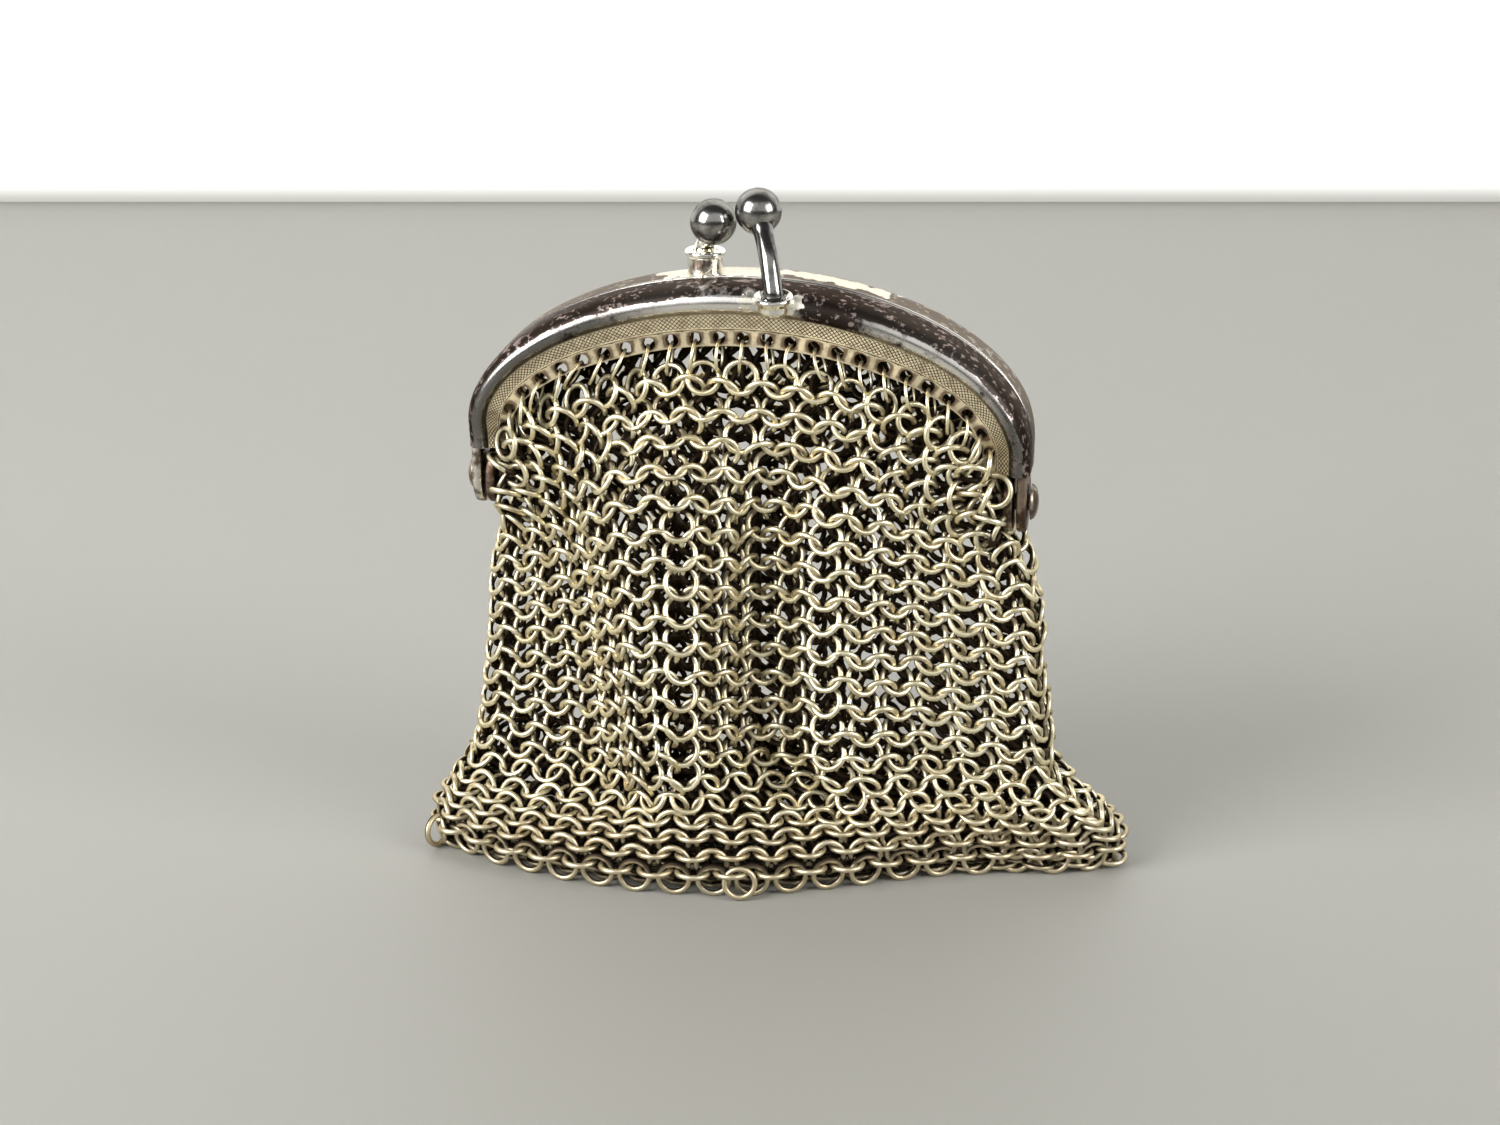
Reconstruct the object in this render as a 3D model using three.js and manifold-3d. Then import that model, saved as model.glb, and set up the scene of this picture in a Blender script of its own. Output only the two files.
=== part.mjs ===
// A metal coin purse: two arched frame halves on two hinge rivets, a ball clasp and a chain-mail pouch.
// Millimetres, +Z up, the front towards -Y. The origin is on the table, under the middle of the frame.
import * as THREE from 'three';
import { mergeVertices } from 'three/addons/utils/BufferGeometryUtils.js';
import Module from 'manifold-3d';

// Clearances
const GAP = 0.3;

// Frame arch: half an ellipse on two short upright legs, measured along the outside of the metal
const ARCH_HALF_WIDTH = 29.6;
const ARCH_SPRING_HEIGHT = 47.5;
const ARCH_RISE = 16.8;
const LEG_LENGTH = 2.3;
const FRAME_STATIONS = 36;

// Section of the front half: drop is measured inwards from the arch, depth forwards from the seam
const FLANGE_DROP = 6.35;
const FRAME_SECTION = [
  { at: 'seam, outside', drop: 0.2, depth: 0.5 * GAP },
  { at: 'crown', drop: 0, depth: 1.4 },
  { at: 'crown edge', drop: 0.06, depth: 3.8 },
  { at: 'shoulder, upper', drop: 0.5, depth: 4.95 },
  { at: 'shoulder, middle', drop: 1.3, depth: 5.5 },
  { at: 'shoulder, lower', drop: 2.15, depth: 5.42 },
  { at: 'flange root, outside', drop: 2.8, depth: 4.65 },
  { at: 'flange foot, outside', drop: FLANGE_DROP, depth: 4.3 },
  { at: 'flange foot, inside', drop: FLANGE_DROP, depth: 3.5 },
  { at: 'flange root, inside', drop: 2.8, depth: 3.85 },
  { at: 'shoulder, inside', drop: 1.3, depth: 4.1 },
  { at: 'seam, inside', drop: 0.9, depth: 0.5 * GAP },
];

// Towards the hinges the flange gets shorter and the section flatter
const FLANGE_SHORTENING = 0.23;
const SHORTENING_STARTS = 0.3;
const END_DEPTH_SHARE = 0.62;
const FLATTENING_STARTS = 0.82;

// Row of holes in each flange
const HOLE_COUNT = 25;
const HOLE_RADIUS = 0.68;
const HOLE_SIDES = 8;
const HOLE_DROP = 5.4;
const HOLE_DEPTH = 4.0;
const HOLE_LENGTH = 3.2;
const HOLE_ROW_END = 0.93;

// Hinge lugs, flat plates across X: the front half's outside, the back half's inside
const PIVOT_HEIGHT = 41.6;
const LUG_RADIUS = 3.2;
const LUG_THICKNESS = 1.0;
const OUTER_LUG_FACE = 29.3;
const LUG_CLEARANCE = 0.4;
const INNER_LUG_FACE = OUTER_LUG_FACE - LUG_THICKNESS - LUG_CLEARANCE;
const LUG_NECK_TOP = 46.6;
const LUG_NECK_FOOT = 44.8;
const LUG_NECK_INSIDE = 0.35;
const LUG_BRIDGE = { depth: 2.4, height: 1.5 };

// Hinge rivets
const RIVET_RADIUS = 0.9;
const RIVET_HEAD_RADIUS = 1.9;
const RIVET_DOME = 0.8;
const RIVET_TAIL = 0.6;
const RIVET_TAIL_RADIUS = 1.6;
const RIVET_SIDES = 14;

// Clasp: a ball on a curved arm (front) and a ball on a short neck (back), each seated in a collar.
// A collar's floor is where its blind socket ends, and its stem runs straight up to the mouth and then
// bows to the right and forwards on its way to the ball
const FRONT_BALL = { x: 0.95, y: -0.5, z: 71.3, radius: 2.4 };
const BACK_BALL = { x: -3.9, y: 0.5, z: 69.75, radius: 2.4 };
const FRONT_COLLAR = { x: 3.35, y: -5.3, z: 62.4, lean: 0.14, floor: 0.4, mouth: 1.9, bow: [0.35, 0.9] };
const BACK_COLLAR = { x: -5.15, y: 2.5, z: 63.9, lean: 0, floor: 0.7, mouth: 2.7, bow: [0, 0] };
const ARM_RADIUS = 0.98;
const ARM_BOW_SHARE = 0.5;
const ARM_SIDES = 10;
const ARM_STEPS = 9;
const BALL_SIDES = 18;
const SOCKET_RADIUS = ARM_RADIUS + GAP;
const DRILL_LENGTH = 3;
const COLLAR_SIDES = 18;
const FRONT_COLLAR_PROFILE = [
  { radius: 0.95, height: -0.75 },
  { radius: 1.5, height: -0.3 },
  { radius: 1.68, height: 0 },
  { radius: 1.68, height: 0.55 },
  { radius: 2.0, height: 1.05 },
  { radius: 2.08, height: 1.3 },
  { radius: 1.9, height: 1.55 },
  { radius: 1.35, height: 1.15 },
];
const BACK_COLLAR_PROFILE = [
  { radius: 1.85, height: -0.6 },
  { radius: 1.85, height: 1.75 },
  { radius: 2.12, height: 1.85 },
  { radius: 2.12, height: 2.3 },
  { radius: 1.9, height: 2.45 },
];

// Pouch: the mail's wall, and its outline at shares of the way down from the frame to the table
const MAIL_WALL = 1.7;
const MAIL_FLOOR = 1.7;
const MAIL_COLUMNS = 33;
const MAIL_ROWS = [0, 0.05, 0.1, 0.15, 0.21, 0.3, 0.41, 0.52, 0.63, 0.74, 0.83, 0.89, 0.93, 0.97, 1];
const SIDE_HALF_DEPTH = 1.5;
const LEAST_HOLLOW = 0.5;
const BELLY_SHAPE = { edge: 2.4, crown: 0.75 };
const RIM_BLEND = 0.3;
const RIM_DEPTH = 3.9;
const STEEPEST_WALL = 1.7;
const POUCH_SECTIONS = [
  { down: 0, left: -24.9, right: 24.9, leftY: 0, rightY: 0, front: 4.6, back: 4.6 },
  { down: 0.1, left: -26.2, right: 26.2, leftY: 0, rightY: 0, front: 6.0, back: 6.0 },
  { down: 0.2, left: -27.4, right: 28.0, leftY: 0, rightY: 0, front: 7.2, back: 7.0 },
  { down: 0.3, left: -28.2, right: 30.0, leftY: -0.2, rightY: 0.2, front: 8.2, back: 7.8 },
  { down: 0.5, left: -29.2, right: 31.0, leftY: -0.6, rightY: 0.5, front: 9.2, back: 8.8 },
  { down: 0.7, left: -30.6, right: 31.9, leftY: -1.2, rightY: 1.0, front: 9.5, back: 9.2 },
  { down: 0.83, left: -32.0, right: 35.4, leftY: -2.2, rightY: 1.8, front: 10.1, back: 9.8 },
  { down: 0.9, left: -33.8, right: 39.0, leftY: -3.2, rightY: 2.6, front: 11.4, back: 11.0 },
  { down: 0.95, left: -35.3, right: 40.6, leftY: -4.0, rightY: 3.0, front: 12.7, back: 12.2 },
  { down: 1, left: -35.6, right: 40.8, leftY: -4.2, rightY: 3.0, front: 12.8, back: 12.3 },
];

// Upright folds of the mail: where each runs at the frame, half way and on the table, how wide it is,
// and how far it stands out (or, negative, in) at those three heights
const FRONT_FOLDS = [
  { name: 'left dip', top: -19, mid: -21, foot: -23, width: 4.2, outTop: -0.4, outMid: -2.7, outFoot: -0.6 },
  { name: 'left ridge', top: -8.5, mid: -9.3, foot: -9, width: 4.8, outTop: 0.5, outMid: 1.9, outFoot: 0.6 },
  { name: 'valley', top: 0.5, mid: 1.6, foot: 1.8, width: 3.7, outTop: -0.6, outMid: -4.4, outFoot: -0.6 },
  { name: 'right ridge', top: 8, mid: 9.4, foot: 10, width: 3.4, outTop: 0.4, outMid: 1.8, outFoot: 0.2 },
  { name: 'right flat', top: 18, mid: 20.5, foot: 24, width: 8.5, outTop: -0.4, outMid: -2.8, outFoot: -4.6 },
];
const BACK_FOLDS = [
  { name: 'left dip', top: -12, mid: -13, foot: -15, width: 4.4, outTop: -0.4, outMid: -2.8, outFoot: -0.8 },
  { name: 'left ridge', top: -3.5, mid: -4.2, foot: -4, width: 3.8, outTop: 0.5, outMid: 1.6, outFoot: 0.5 },
  { name: 'right valley', top: 5, mid: 5.6, foot: 7, width: 3.6, outTop: -0.5, outMid: -3.4, outFoot: -0.8 },
  { name: 'right ridge', top: 14, mid: 15.2, foot: 17, width: 4.6, outTop: 0.4, outMid: 1.4, outFoot: 0.4 },
];

// Slits between the front and the back of the mail below the hinges
const SLIT_FOOT = 36;
const SLIT_TOP = 52;
const SLIT_HALF_WIDTH = 3.6;
const SLIT_START = 23.5;
const SLIT_END = 34;
const LUG_ROOM_RADIUS = LUG_RADIUS + 0.5;
const LUG_ROOM_START = INNER_LUG_FACE - LUG_THICKNESS - 1.6;
const LUG_ROOM_SIDES = 16;

const FINISHES = {
  tarnishedSilver: { color: 0x8a827a, roughness: 0.32, metalness: 1 },
  wornSilver: { color: 0xa39b8c, roughness: 0.36, metalness: 1 },
  darkBall: { color: 0x5c5a58, roughness: 0.22, metalness: 1 },
  rivetMetal: { color: 0x6f655b, roughness: 0.4, metalness: 1 },
  nickelMail: { color: 0xb5ab8d, roughness: 0.35, metalness: 1 },
};

const wasm = await Module();
wasm.setup();

/** Turns a closed three.js geometry into a solid, leaving out triangles that have no area. */
function solidOf(geometry) {
  const bare = geometry.clone();
  bare.deleteAttribute('normal');
  bare.deleteAttribute('uv');
  const merged = mergeVertices(bare, 1e-4);
  const corners = merged.index.array;
  const kept = [];
  for (let i = 0; i < corners.length; i += 3) {
    const [a, b, c] = [corners[i], corners[i + 1], corners[i + 2]];
    if (a !== b && b !== c && c !== a) kept.push(a, b, c);
  }
  return new wasm.Manifold(new wasm.Mesh({
    numProp: 3,
    vertProperties: Float32Array.from(merged.attributes.position.array),
    triVerts: Uint32Array.from(kept),
  }));
}

/** Gives a solid's surface back as a geometry. */
function geometryOf(solid) {
  const surface = solid.getMesh();
  return meshGeometry(surface.vertProperties, surface.triVerts);
}

/** Makes an indexed geometry from flat lists of coordinates and corners. */
function meshGeometry(coordinates, corners) {
  const geometry = new THREE.BufferGeometry();
  geometry.setAttribute('position', new THREE.BufferAttribute(Float32Array.from(coordinates), 3));
  geometry.setIndex(new THREE.BufferAttribute(Uint32Array.from(corners), 1));
  geometry.computeVertexNormals();
  return geometry;
}

/** Makes a named mesh with one of the finishes. */
function piece(name, geometry, finish) {
  const mesh = new THREE.Mesh(geometry, new THREE.MeshStandardMaterial(finish));
  mesh.name = name;
  return mesh;
}

/** Reads a column of a table at a place between its rows, on a smooth curve through the rows. */
function readTable(rows, key, column, place) {
  const last = rows.length - 1;
  let i = 0;
  while (i < last - 1 && place > rows[i + 1][key]) i += 1;
  const slope = (k) => {
    const [low, high] = [rows[Math.max(k - 1, 0)], rows[Math.min(k + 1, last)]];
    return (high[column] - low[column]) / (high[key] - low[key]);
  };
  const span = rows[i + 1][key] - rows[i][key];
  const t = (place - rows[i][key]) / span;
  const rise = rows[i + 1][column] - rows[i][column];
  const [startSlope, endSlope] = [slope(i) * span, slope(i + 1) * span];
  const bend = 3 * rise - 2 * startSlope - endSlope;
  const turn = startSlope + endSlope - 2 * rise;
  return rows[i][column] + t * (startSlope + t * (bend + t * turn));
}

/** The outside line of the arch in the XZ plane, from the left foot over the top to the right foot. */
function archLine() {
  const foot = ARCH_SPRING_HEIGHT - LEG_LENGTH;
  const [left, right] = [-ARCH_HALF_WIDTH, ARCH_HALF_WIDTH];
  const line = new THREE.CurvePath();
  line.add(new THREE.LineCurve(new THREE.Vector2(left, foot), new THREE.Vector2(left, ARCH_SPRING_HEIGHT)));
  line.add(new THREE.EllipseCurve(0, ARCH_SPRING_HEIGHT, ARCH_HALF_WIDTH, ARCH_RISE, Math.PI, 0, true));
  line.add(new THREE.LineCurve(new THREE.Vector2(right, ARCH_SPRING_HEIGHT), new THREE.Vector2(right, foot)));
  return line;
}

const ARCH = archLine();

/** A point inside the arch: share runs from -1 at the left foot to 1 at the right one. */
function insideArch(share, drop) {
  const along = THREE.MathUtils.clamp(0.5 * (share + 1), 0, 1);
  const point = ARCH.getPoint(along);
  const tangent = ARCH.getTangent(along);
  return new THREE.Vector2(point.x + tangent.y * drop, point.y - tangent.x * drop);
}

/** How much of its full drop the flange keeps at a share of the arch. */
function flangeShare(share) {
  return 1 - FLANGE_SHORTENING * THREE.MathUtils.smoothstep(Math.abs(share), SHORTENING_STARTS, HOLE_ROW_END);
}

/** How much of its full depth the section keeps at a share of the arch. */
function depthShare(share) {
  const flattened = THREE.MathUtils.smoothstep(Math.abs(share), FLATTENING_STARTS, 1);
  return 1 - (1 - END_DEPTH_SHARE) * flattened;
}

/** Sweeps the frame section along the arch: side is -1 for the front half and 1 for the back half. */
function sweptHalf(side) {
  const coordinates = [];
  const corners = [];
  const ring = FRAME_SECTION.length;
  for (let station = 0; station <= FRAME_STATIONS; station += 1) {
    const share = -1 + 2 * station / FRAME_STATIONS;
    for (const { drop, depth } of FRAME_SECTION) {
      const at = insideArch(share, drop * flangeShare(share));
      const fullDepth = 0.5 * GAP + (depth - 0.5 * GAP) * depthShare(share);
      coordinates.push(at.x, side * fullDepth, at.y);
    }
  }
  const face = (a, b, c) => (side < 0 ? corners.push(a, b, c) : corners.push(a, c, b));
  for (let station = 0; station < FRAME_STATIONS; station += 1) {
    for (let k = 0; k < ring; k += 1) {
      const a = station * ring + k;
      const b = station * ring + (k + 1) % ring;
      face(a, b, a + ring);
      face(b, b + ring, a + ring);
    }
  }
  const outline = FRAME_SECTION.map(({ drop, depth }) => new THREE.Vector2(drop, depth));
  const endFaces = THREE.ShapeUtils.triangulateShape(outline, []);
  const lastRing = FRAME_STATIONS * ring;
  const turned = THREE.ShapeUtils.area(outline) < 0;
  for (const [a, b, c] of endFaces) {
    if (turned) {
      face(a, b, c);
      face(lastRing + a, lastRing + c, lastRing + b);
    } else {
      face(a, c, b);
      face(lastRing + a, lastRing + b, lastRing + c);
    }
  }
  return solidOf(meshGeometry(coordinates, corners));
}

/** Places for the holes, evenly spaced along the flange. */
function holePlaces() {
  const samples = 400;
  const line = [];
  for (let i = 0; i <= samples; i += 1) {
    const share = HOLE_ROW_END * (-1 + 2 * i / samples);
    const at = insideArch(share, HOLE_DROP * flangeShare(share));
    const before = line[line.length - 1];
    const run = before ? before.run + at.distanceTo(before.at) : 0;
    line.push({ share, at, run });
  }
  const whole = line[samples].run;
  const places = [];
  for (let hole = 0; hole < HOLE_COUNT; hole += 1) {
    const run = whole * hole / (HOLE_COUNT - 1);
    places.push(line.find((sample) => sample.run >= run - 1e-6));
  }
  return places;
}

/** The drills that pierce one half's flange. */
function flangeDrills(side) {
  return holePlaces().map(({ share, at }) => {
    const drill = new THREE.CylinderGeometry(HOLE_RADIUS, HOLE_RADIUS, HOLE_LENGTH, HOLE_SIDES);
    drill.rotateY(Math.PI / HOLE_SIDES);
    drill.translate(at.x, side * HOLE_DEPTH * depthShare(share), at.y);
    return solidOf(drill);
  });
}

/** Turns a shape drawn in (y, z) and extruded along its own normal into a plate across X. */
function plateAcrossX(shape, thickness, start) {
  const plate = new THREE.ExtrudeGeometry(shape, { depth: thickness, bevelEnabled: false, curveSegments: 8 });
  const basis = new THREE.Matrix4().makeBasis(
    new THREE.Vector3(0, 1, 0), new THREE.Vector3(0, 0, 1), new THREE.Vector3(1, 0, 0));
  plate.applyMatrix4(basis);
  plate.translate(start, 0, 0);
  return plate;
}

/** A hinge lug: a round ear about the pivot with a neck up to its own half, and the rivet's hole. */
function hingeLug(side, start) {
  const [neckInside, neckOutside] = [side * LUG_NECK_INSIDE, side * LUG_RADIUS];
  const shape = new THREE.Shape();
  shape.moveTo(neckOutside, LUG_NECK_TOP);
  shape.lineTo(neckOutside, PIVOT_HEIGHT);
  const [from, to] = side < 0 ? [Math.PI, Math.PI / 3 + 2 * Math.PI] : [0, 2 * Math.PI / 3 - 2 * Math.PI];
  shape.absarc(0, PIVOT_HEIGHT, LUG_RADIUS, from, to, side > 0);
  shape.lineTo(neckInside, LUG_NECK_FOOT);
  shape.lineTo(neckInside, LUG_NECK_TOP);
  const bore = new THREE.Path();
  bore.absarc(0, PIVOT_HEIGHT, RIVET_RADIUS + GAP, 0, 2 * Math.PI, side < 0);
  shape.holes.push(bore);
  return solidOf(plateAcrossX(shape, LUG_THICKNESS, start));
}

/** Both lugs of one half, with the back half's bridges from its inside lugs out to its legs. */
function hingeLugs(side) {
  const face = side < 0 ? OUTER_LUG_FACE : INNER_LUG_FACE;
  const lugs = [hingeLug(side, face - LUG_THICKNESS), hingeLug(side, -face)];
  if (side > 0) {
    const [low, high] = [INNER_LUG_FACE - 0.5 * LUG_THICKNESS, ARCH_HALF_WIDTH - 0.4];
    for (const end of [-1, 1]) {
      const bridge = new THREE.BoxGeometry(high - low, LUG_BRIDGE.depth, LUG_BRIDGE.height);
      const foot = ARCH_SPRING_HEIGHT - LEG_LENGTH;
      const middle = LUG_NECK_INSIDE + 0.1 + 0.5 * LUG_BRIDGE.depth;
      bridge.translate(end * 0.5 * (low + high), side * middle, foot + 0.05 + 0.5 * LUG_BRIDGE.height);
      lugs.push(solidOf(bridge));
    }
  }
  return lugs;
}

/** Stands a geometry made about its own Y axis on a collar's place, leaning forwards with it. */
function standOn(collar, geometry) {
  geometry.rotateX(Math.PI / 2 + collar.lean);
  geometry.translate(collar.x, collar.y, collar.z);
  return geometry;
}

/** A collar with a blind socket for the clasp's stem. */
function claspCollar(collar, profile) {
  const top = profile[profile.length - 1].height;
  const outline = [
    new THREE.Vector2(0, profile[0].height),
    ...profile.map(({ radius, height }) => new THREE.Vector2(radius, height)),
    new THREE.Vector2(SOCKET_RADIUS, top),
    new THREE.Vector2(SOCKET_RADIUS, collar.floor),
    new THREE.Vector2(0, collar.floor),
  ];
  return solidOf(standOn(collar, new THREE.LatheGeometry(outline, COLLAR_SIDES)));
}

/** The drill that clears a collar's socket of the metal that the collar is soldered to. */
function socketDrill(collar) {
  const drill = new THREE.CylinderGeometry(SOCKET_RADIUS, SOCKET_RADIUS, DRILL_LENGTH, COLLAR_SIDES);
  drill.translate(0, collar.floor + 0.5 * DRILL_LENGTH, 0);
  return solidOf(standOn(collar, drill));
}

/** One half of the frame: swept section, lugs and collar soldered together, with the holes drilled. */
function frameHalf(side, collar, profile) {
  let half = sweptHalf(side);
  for (const lug of hingeLugs(side)) half = half.add(lug);
  half = half.add(claspCollar(collar, profile)).subtract(socketDrill(collar));
  for (const drill of flangeDrills(side)) half = half.subtract(drill);
  return geometryOf(half);
}

/** A ball on a stem that starts in a collar's socket and bows on its way to the ball. */
function ballOnStem(collar, ball) {
  const up = new THREE.Vector3(0, -Math.sin(collar.lean), Math.cos(collar.lean));
  const seat = new THREE.Vector3(collar.x, collar.y, collar.z);
  const foot = seat.clone().addScaledVector(up, collar.floor + GAP);
  const mouth = seat.clone().addScaledVector(up, collar.mouth);
  const centre = new THREE.Vector3(ball.x, ball.y, ball.z);
  const [right, forwards] = collar.bow;
  const middle = mouth.clone().lerp(centre, ARM_BOW_SHARE).add(new THREE.Vector3(right, -forwards, 0));
  const straight = foot.clone().lerp(mouth, 0.5);
  const line = new THREE.CatmullRomCurve3([foot, straight, mouth, middle, centre]);
  const round = new THREE.Shape();
  for (let k = 0; k < ARM_SIDES; k += 1) {
    const turn = 2 * Math.PI * k / ARM_SIDES;
    const [x, y] = [ARM_RADIUS * Math.cos(turn), ARM_RADIUS * Math.sin(turn)];
    if (k === 0) round.moveTo(x, y);
    else round.lineTo(x, y);
  }
  const stem = new THREE.ExtrudeGeometry(round, { steps: ARM_STEPS, extrudePath: line, curveSegments: 1 });
  const sphere = new THREE.SphereGeometry(ball.radius, BALL_SIDES, BALL_SIDES / 2 + 2);
  sphere.rotateX(Math.PI / 2);
  sphere.translate(ball.x, ball.y, ball.z);
  return geometryOf(solidOf(stem).add(solidOf(sphere)));
}

/** A hinge rivet: domed head outside, pin through both lugs, flat tail inside. end is -1 left, 1 right. */
function hingeRivet(end) {
  const head = OUTER_LUG_FACE + GAP;
  const tail = INNER_LUG_FACE - LUG_THICKNESS - GAP;
  const outline = [new THREE.Vector2(0, tail - RIVET_TAIL)];
  outline.push(new THREE.Vector2(RIVET_TAIL_RADIUS, tail - RIVET_TAIL));
  outline.push(new THREE.Vector2(RIVET_TAIL_RADIUS, tail));
  outline.push(new THREE.Vector2(RIVET_RADIUS, tail));
  outline.push(new THREE.Vector2(RIVET_RADIUS, head));
  const domeSteps = 4;
  for (let k = 0; k <= domeSteps; k += 1) {
    const turn = 0.5 * Math.PI * k / domeSteps;
    const radius = k === domeSteps ? 0 : RIVET_HEAD_RADIUS * Math.cos(turn);
    outline.push(new THREE.Vector2(radius, head + RIVET_DOME * Math.sin(turn)));
  }
  const rivet = new THREE.LatheGeometry(outline, RIVET_SIDES);
  rivet.rotateZ(-0.5 * Math.PI * end);
  rivet.translate(0, 0, PIVOT_HEIGHT);
  return geometryOf(solidOf(rivet));
}

/** How far the folds of one side stand out at a place across and a share of the way down. */
function foldDepth(folds, x, down) {
  let out = 0;
  for (const fold of folds) {
    const heights = [
      { down: 0, place: fold.top, out: fold.outTop },
      { down: 0.5, place: fold.mid, out: fold.outMid },
      { down: 1, place: fold.foot, out: fold.outFoot },
    ];
    const place = readTable(heights, 'down', 'place', down);
    out += readTable(heights, 'down', 'out', down) * Math.exp(-(((x - place) / fold.width) ** 2));
  }
  return out;
}

/** The outline of the pouch at a share of the way down, read from the table of sections. */
function pouchSection(down) {
  const names = ['left', 'right', 'leftY', 'rightY', 'front', 'back'];
  return Object.fromEntries(names.map((name) => [name, readTable(POUCH_SECTIONS, 'down', name, down)]));
}

/** Depth of one side of the pouch from its middle line, at u from -1 (left) to 1 (right). */
function pouchDepth(side, u, down) {
  const section = pouchSection(down);
  const x = 0.5 * (section.left + section.right) + 0.5 * u * (section.right - section.left);
  const reach = side < 0 ? section.front : section.back;
  const belly = (1 - Math.abs(u) ** BELLY_SHAPE.edge) ** BELLY_SHAPE.crown;
  const folds = foldDepth(side < 0 ? FRONT_FOLDS : BACK_FOLDS, x, down) * belly;
  const draped = SIDE_HALF_DEPTH + (reach - SIDE_HALF_DEPTH) * belly + folds;
  const rimDepth = 0.5 * MAIL_WALL + RIM_DEPTH * depthShare(u);
  return THREE.MathUtils.lerp(rimDepth, draped, THREE.MathUtils.smoothstep(down, 0, RIM_BLEND));
}

/** One point of the pouch's outer wall (inset 0) or inner wall (inset the wall's thickness). */
function pouchPoint(side, u, down, inset) {
  const section = pouchSection(down);
  const rim = insideArch(u, FLANGE_DROP * flangeShare(u) + GAP);
  const shrink = 1 - 2 * inset / (section.right - section.left);
  const drapedX = 0.5 * (section.left + section.right) + 0.5 * shrink * u * (section.right - section.left);
  const blend = THREE.MathUtils.smoothstep(down, 0, RIM_BLEND);
  const x = THREE.MathUtils.lerp(rim.x * shrink, drapedX, blend);
  const step = 0.01;
  const width = 0.5 * (section.right - section.left);
  const [inner, outer] = [Math.max(u - step, -1), Math.min(u + step, 1)];
  const slope = (pouchDepth(side, outer, down) - pouchDepth(side, inner, down)) / ((outer - inner) * width);
  const thickness = inset * Math.min(Math.hypot(1, slope), STEEPEST_WALL);
  const depth = Math.max(pouchDepth(side, u, down) - thickness, inset > 0 ? LEAST_HOLLOW : 0);
  const middle = THREE.MathUtils.lerp(section.leftY, section.rightY, 0.5 * (u + 1));
  const floor = inset > 0 ? MAIL_FLOOR : 0;
  return new THREE.Vector3(x, middle + side * depth, THREE.MathUtils.lerp(rim.y, floor, down));
}

/** A closed loop round the pouch at one height: the front from left to right, then the back. */
function pouchLoop(down, inset) {
  const loop = [];
  for (let k = 0; k < MAIL_COLUMNS; k += 1) {
    loop.push(pouchPoint(-1, -1 + 2 * k / (MAIL_COLUMNS - 1), down, inset));
  }
  for (let k = MAIL_COLUMNS - 1; k >= 0; k -= 1) {
    loop.push(pouchPoint(1, -1 + 2 * k / (MAIL_COLUMNS - 1), down, inset));
  }
  return loop;
}

/** The shell of the pouch: outer wall, inner wall, rim and floor, open at the top. */
function pouchShell() {
  const coordinates = [];
  const corners = [];
  const count = 2 * MAIL_COLUMNS;
  const addLoop = (loop) => loop.forEach((p) => coordinates.push(p.x, p.y, p.z));
  const outerDown = [...MAIL_ROWS];
  const innerUp = [...MAIL_ROWS].reverse();
  innerUp.forEach((down) => addLoop(pouchLoop(down, MAIL_WALL)));
  outerDown.forEach((down) => addLoop(pouchLoop(down, 0)));
  const loops = 2 * MAIL_ROWS.length;
  for (let row = 0; row < loops - 1; row += 1) {
    for (let k = 0; k < count; k += 1) {
      const a = row * count + k;
      const b = row * count + (k + 1) % count;
      corners.push(a, a + count, b, b, a + count, b + count);
    }
  }
  const floor = (first, facingUp) => {
    for (let k = 0; k < MAIL_COLUMNS - 1; k += 1) {
      const [a, b] = [first + k, first + k + 1];
      const [c, d] = [first + count - 2 - k, first + count - 1 - k];
      if (facingUp) corners.push(a, b, c, a, c, d);
      else corners.push(a, c, b, a, d, c);
    }
  };
  floor(0, true);
  floor((loops - 1) * count, false);
  return solidOf(meshGeometry(coordinates, corners));
}

/** The wedge that opens one side of the pouch below its hinge, and the room round its lugs. */
function sideSlit(end) {
  const wedge = new THREE.Shape();
  wedge.moveTo(0, SLIT_FOOT);
  wedge.lineTo(SLIT_HALF_WIDTH, 0.5 * (SLIT_FOOT + SLIT_TOP));
  wedge.lineTo(SLIT_HALF_WIDTH, SLIT_TOP);
  wedge.lineTo(-SLIT_HALF_WIDTH, SLIT_TOP);
  wedge.lineTo(-SLIT_HALF_WIDTH, 0.5 * (SLIT_FOOT + SLIT_TOP));
  wedge.closePath();
  const length = SLIT_END - SLIT_START;
  const cut = solidOf(plateAcrossX(wedge, length, end > 0 ? SLIT_START : -SLIT_END));
  const reach = SLIT_END - LUG_ROOM_START;
  const room = new THREE.CylinderGeometry(LUG_ROOM_RADIUS, LUG_ROOM_RADIUS, reach, LUG_ROOM_SIDES);
  room.rotateZ(Math.PI / 2);
  room.translate(end * (LUG_ROOM_START + 0.5 * reach), 0, PIVOT_HEIGHT);
  return cut.add(solidOf(room));
}

/** The mail pouch with its two side slits cut. */
function mailPouch() {
  return geometryOf(pouchShell().subtract(sideSlit(-1)).subtract(sideSlit(1)));
}

const purse = new THREE.Group();
purse.add(
  piece('front_frame', frameHalf(-1, FRONT_COLLAR, FRONT_COLLAR_PROFILE), FINISHES.tarnishedSilver),
  piece('back_frame', frameHalf(1, BACK_COLLAR, BACK_COLLAR_PROFILE), FINISHES.wornSilver),
  piece('front_clasp', ballOnStem(FRONT_COLLAR, FRONT_BALL), FINISHES.darkBall),
  piece('back_clasp', ballOnStem(BACK_COLLAR, BACK_BALL), FINISHES.darkBall),
  piece('left_rivet', hingeRivet(-1), FINISHES.rivetMetal),
  piece('right_rivet', hingeRivet(1), FINISHES.rivetMetal),
  piece('mail_pouch', mailPouch(), FINISHES.nickelMail),
);

export default purse;
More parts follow.
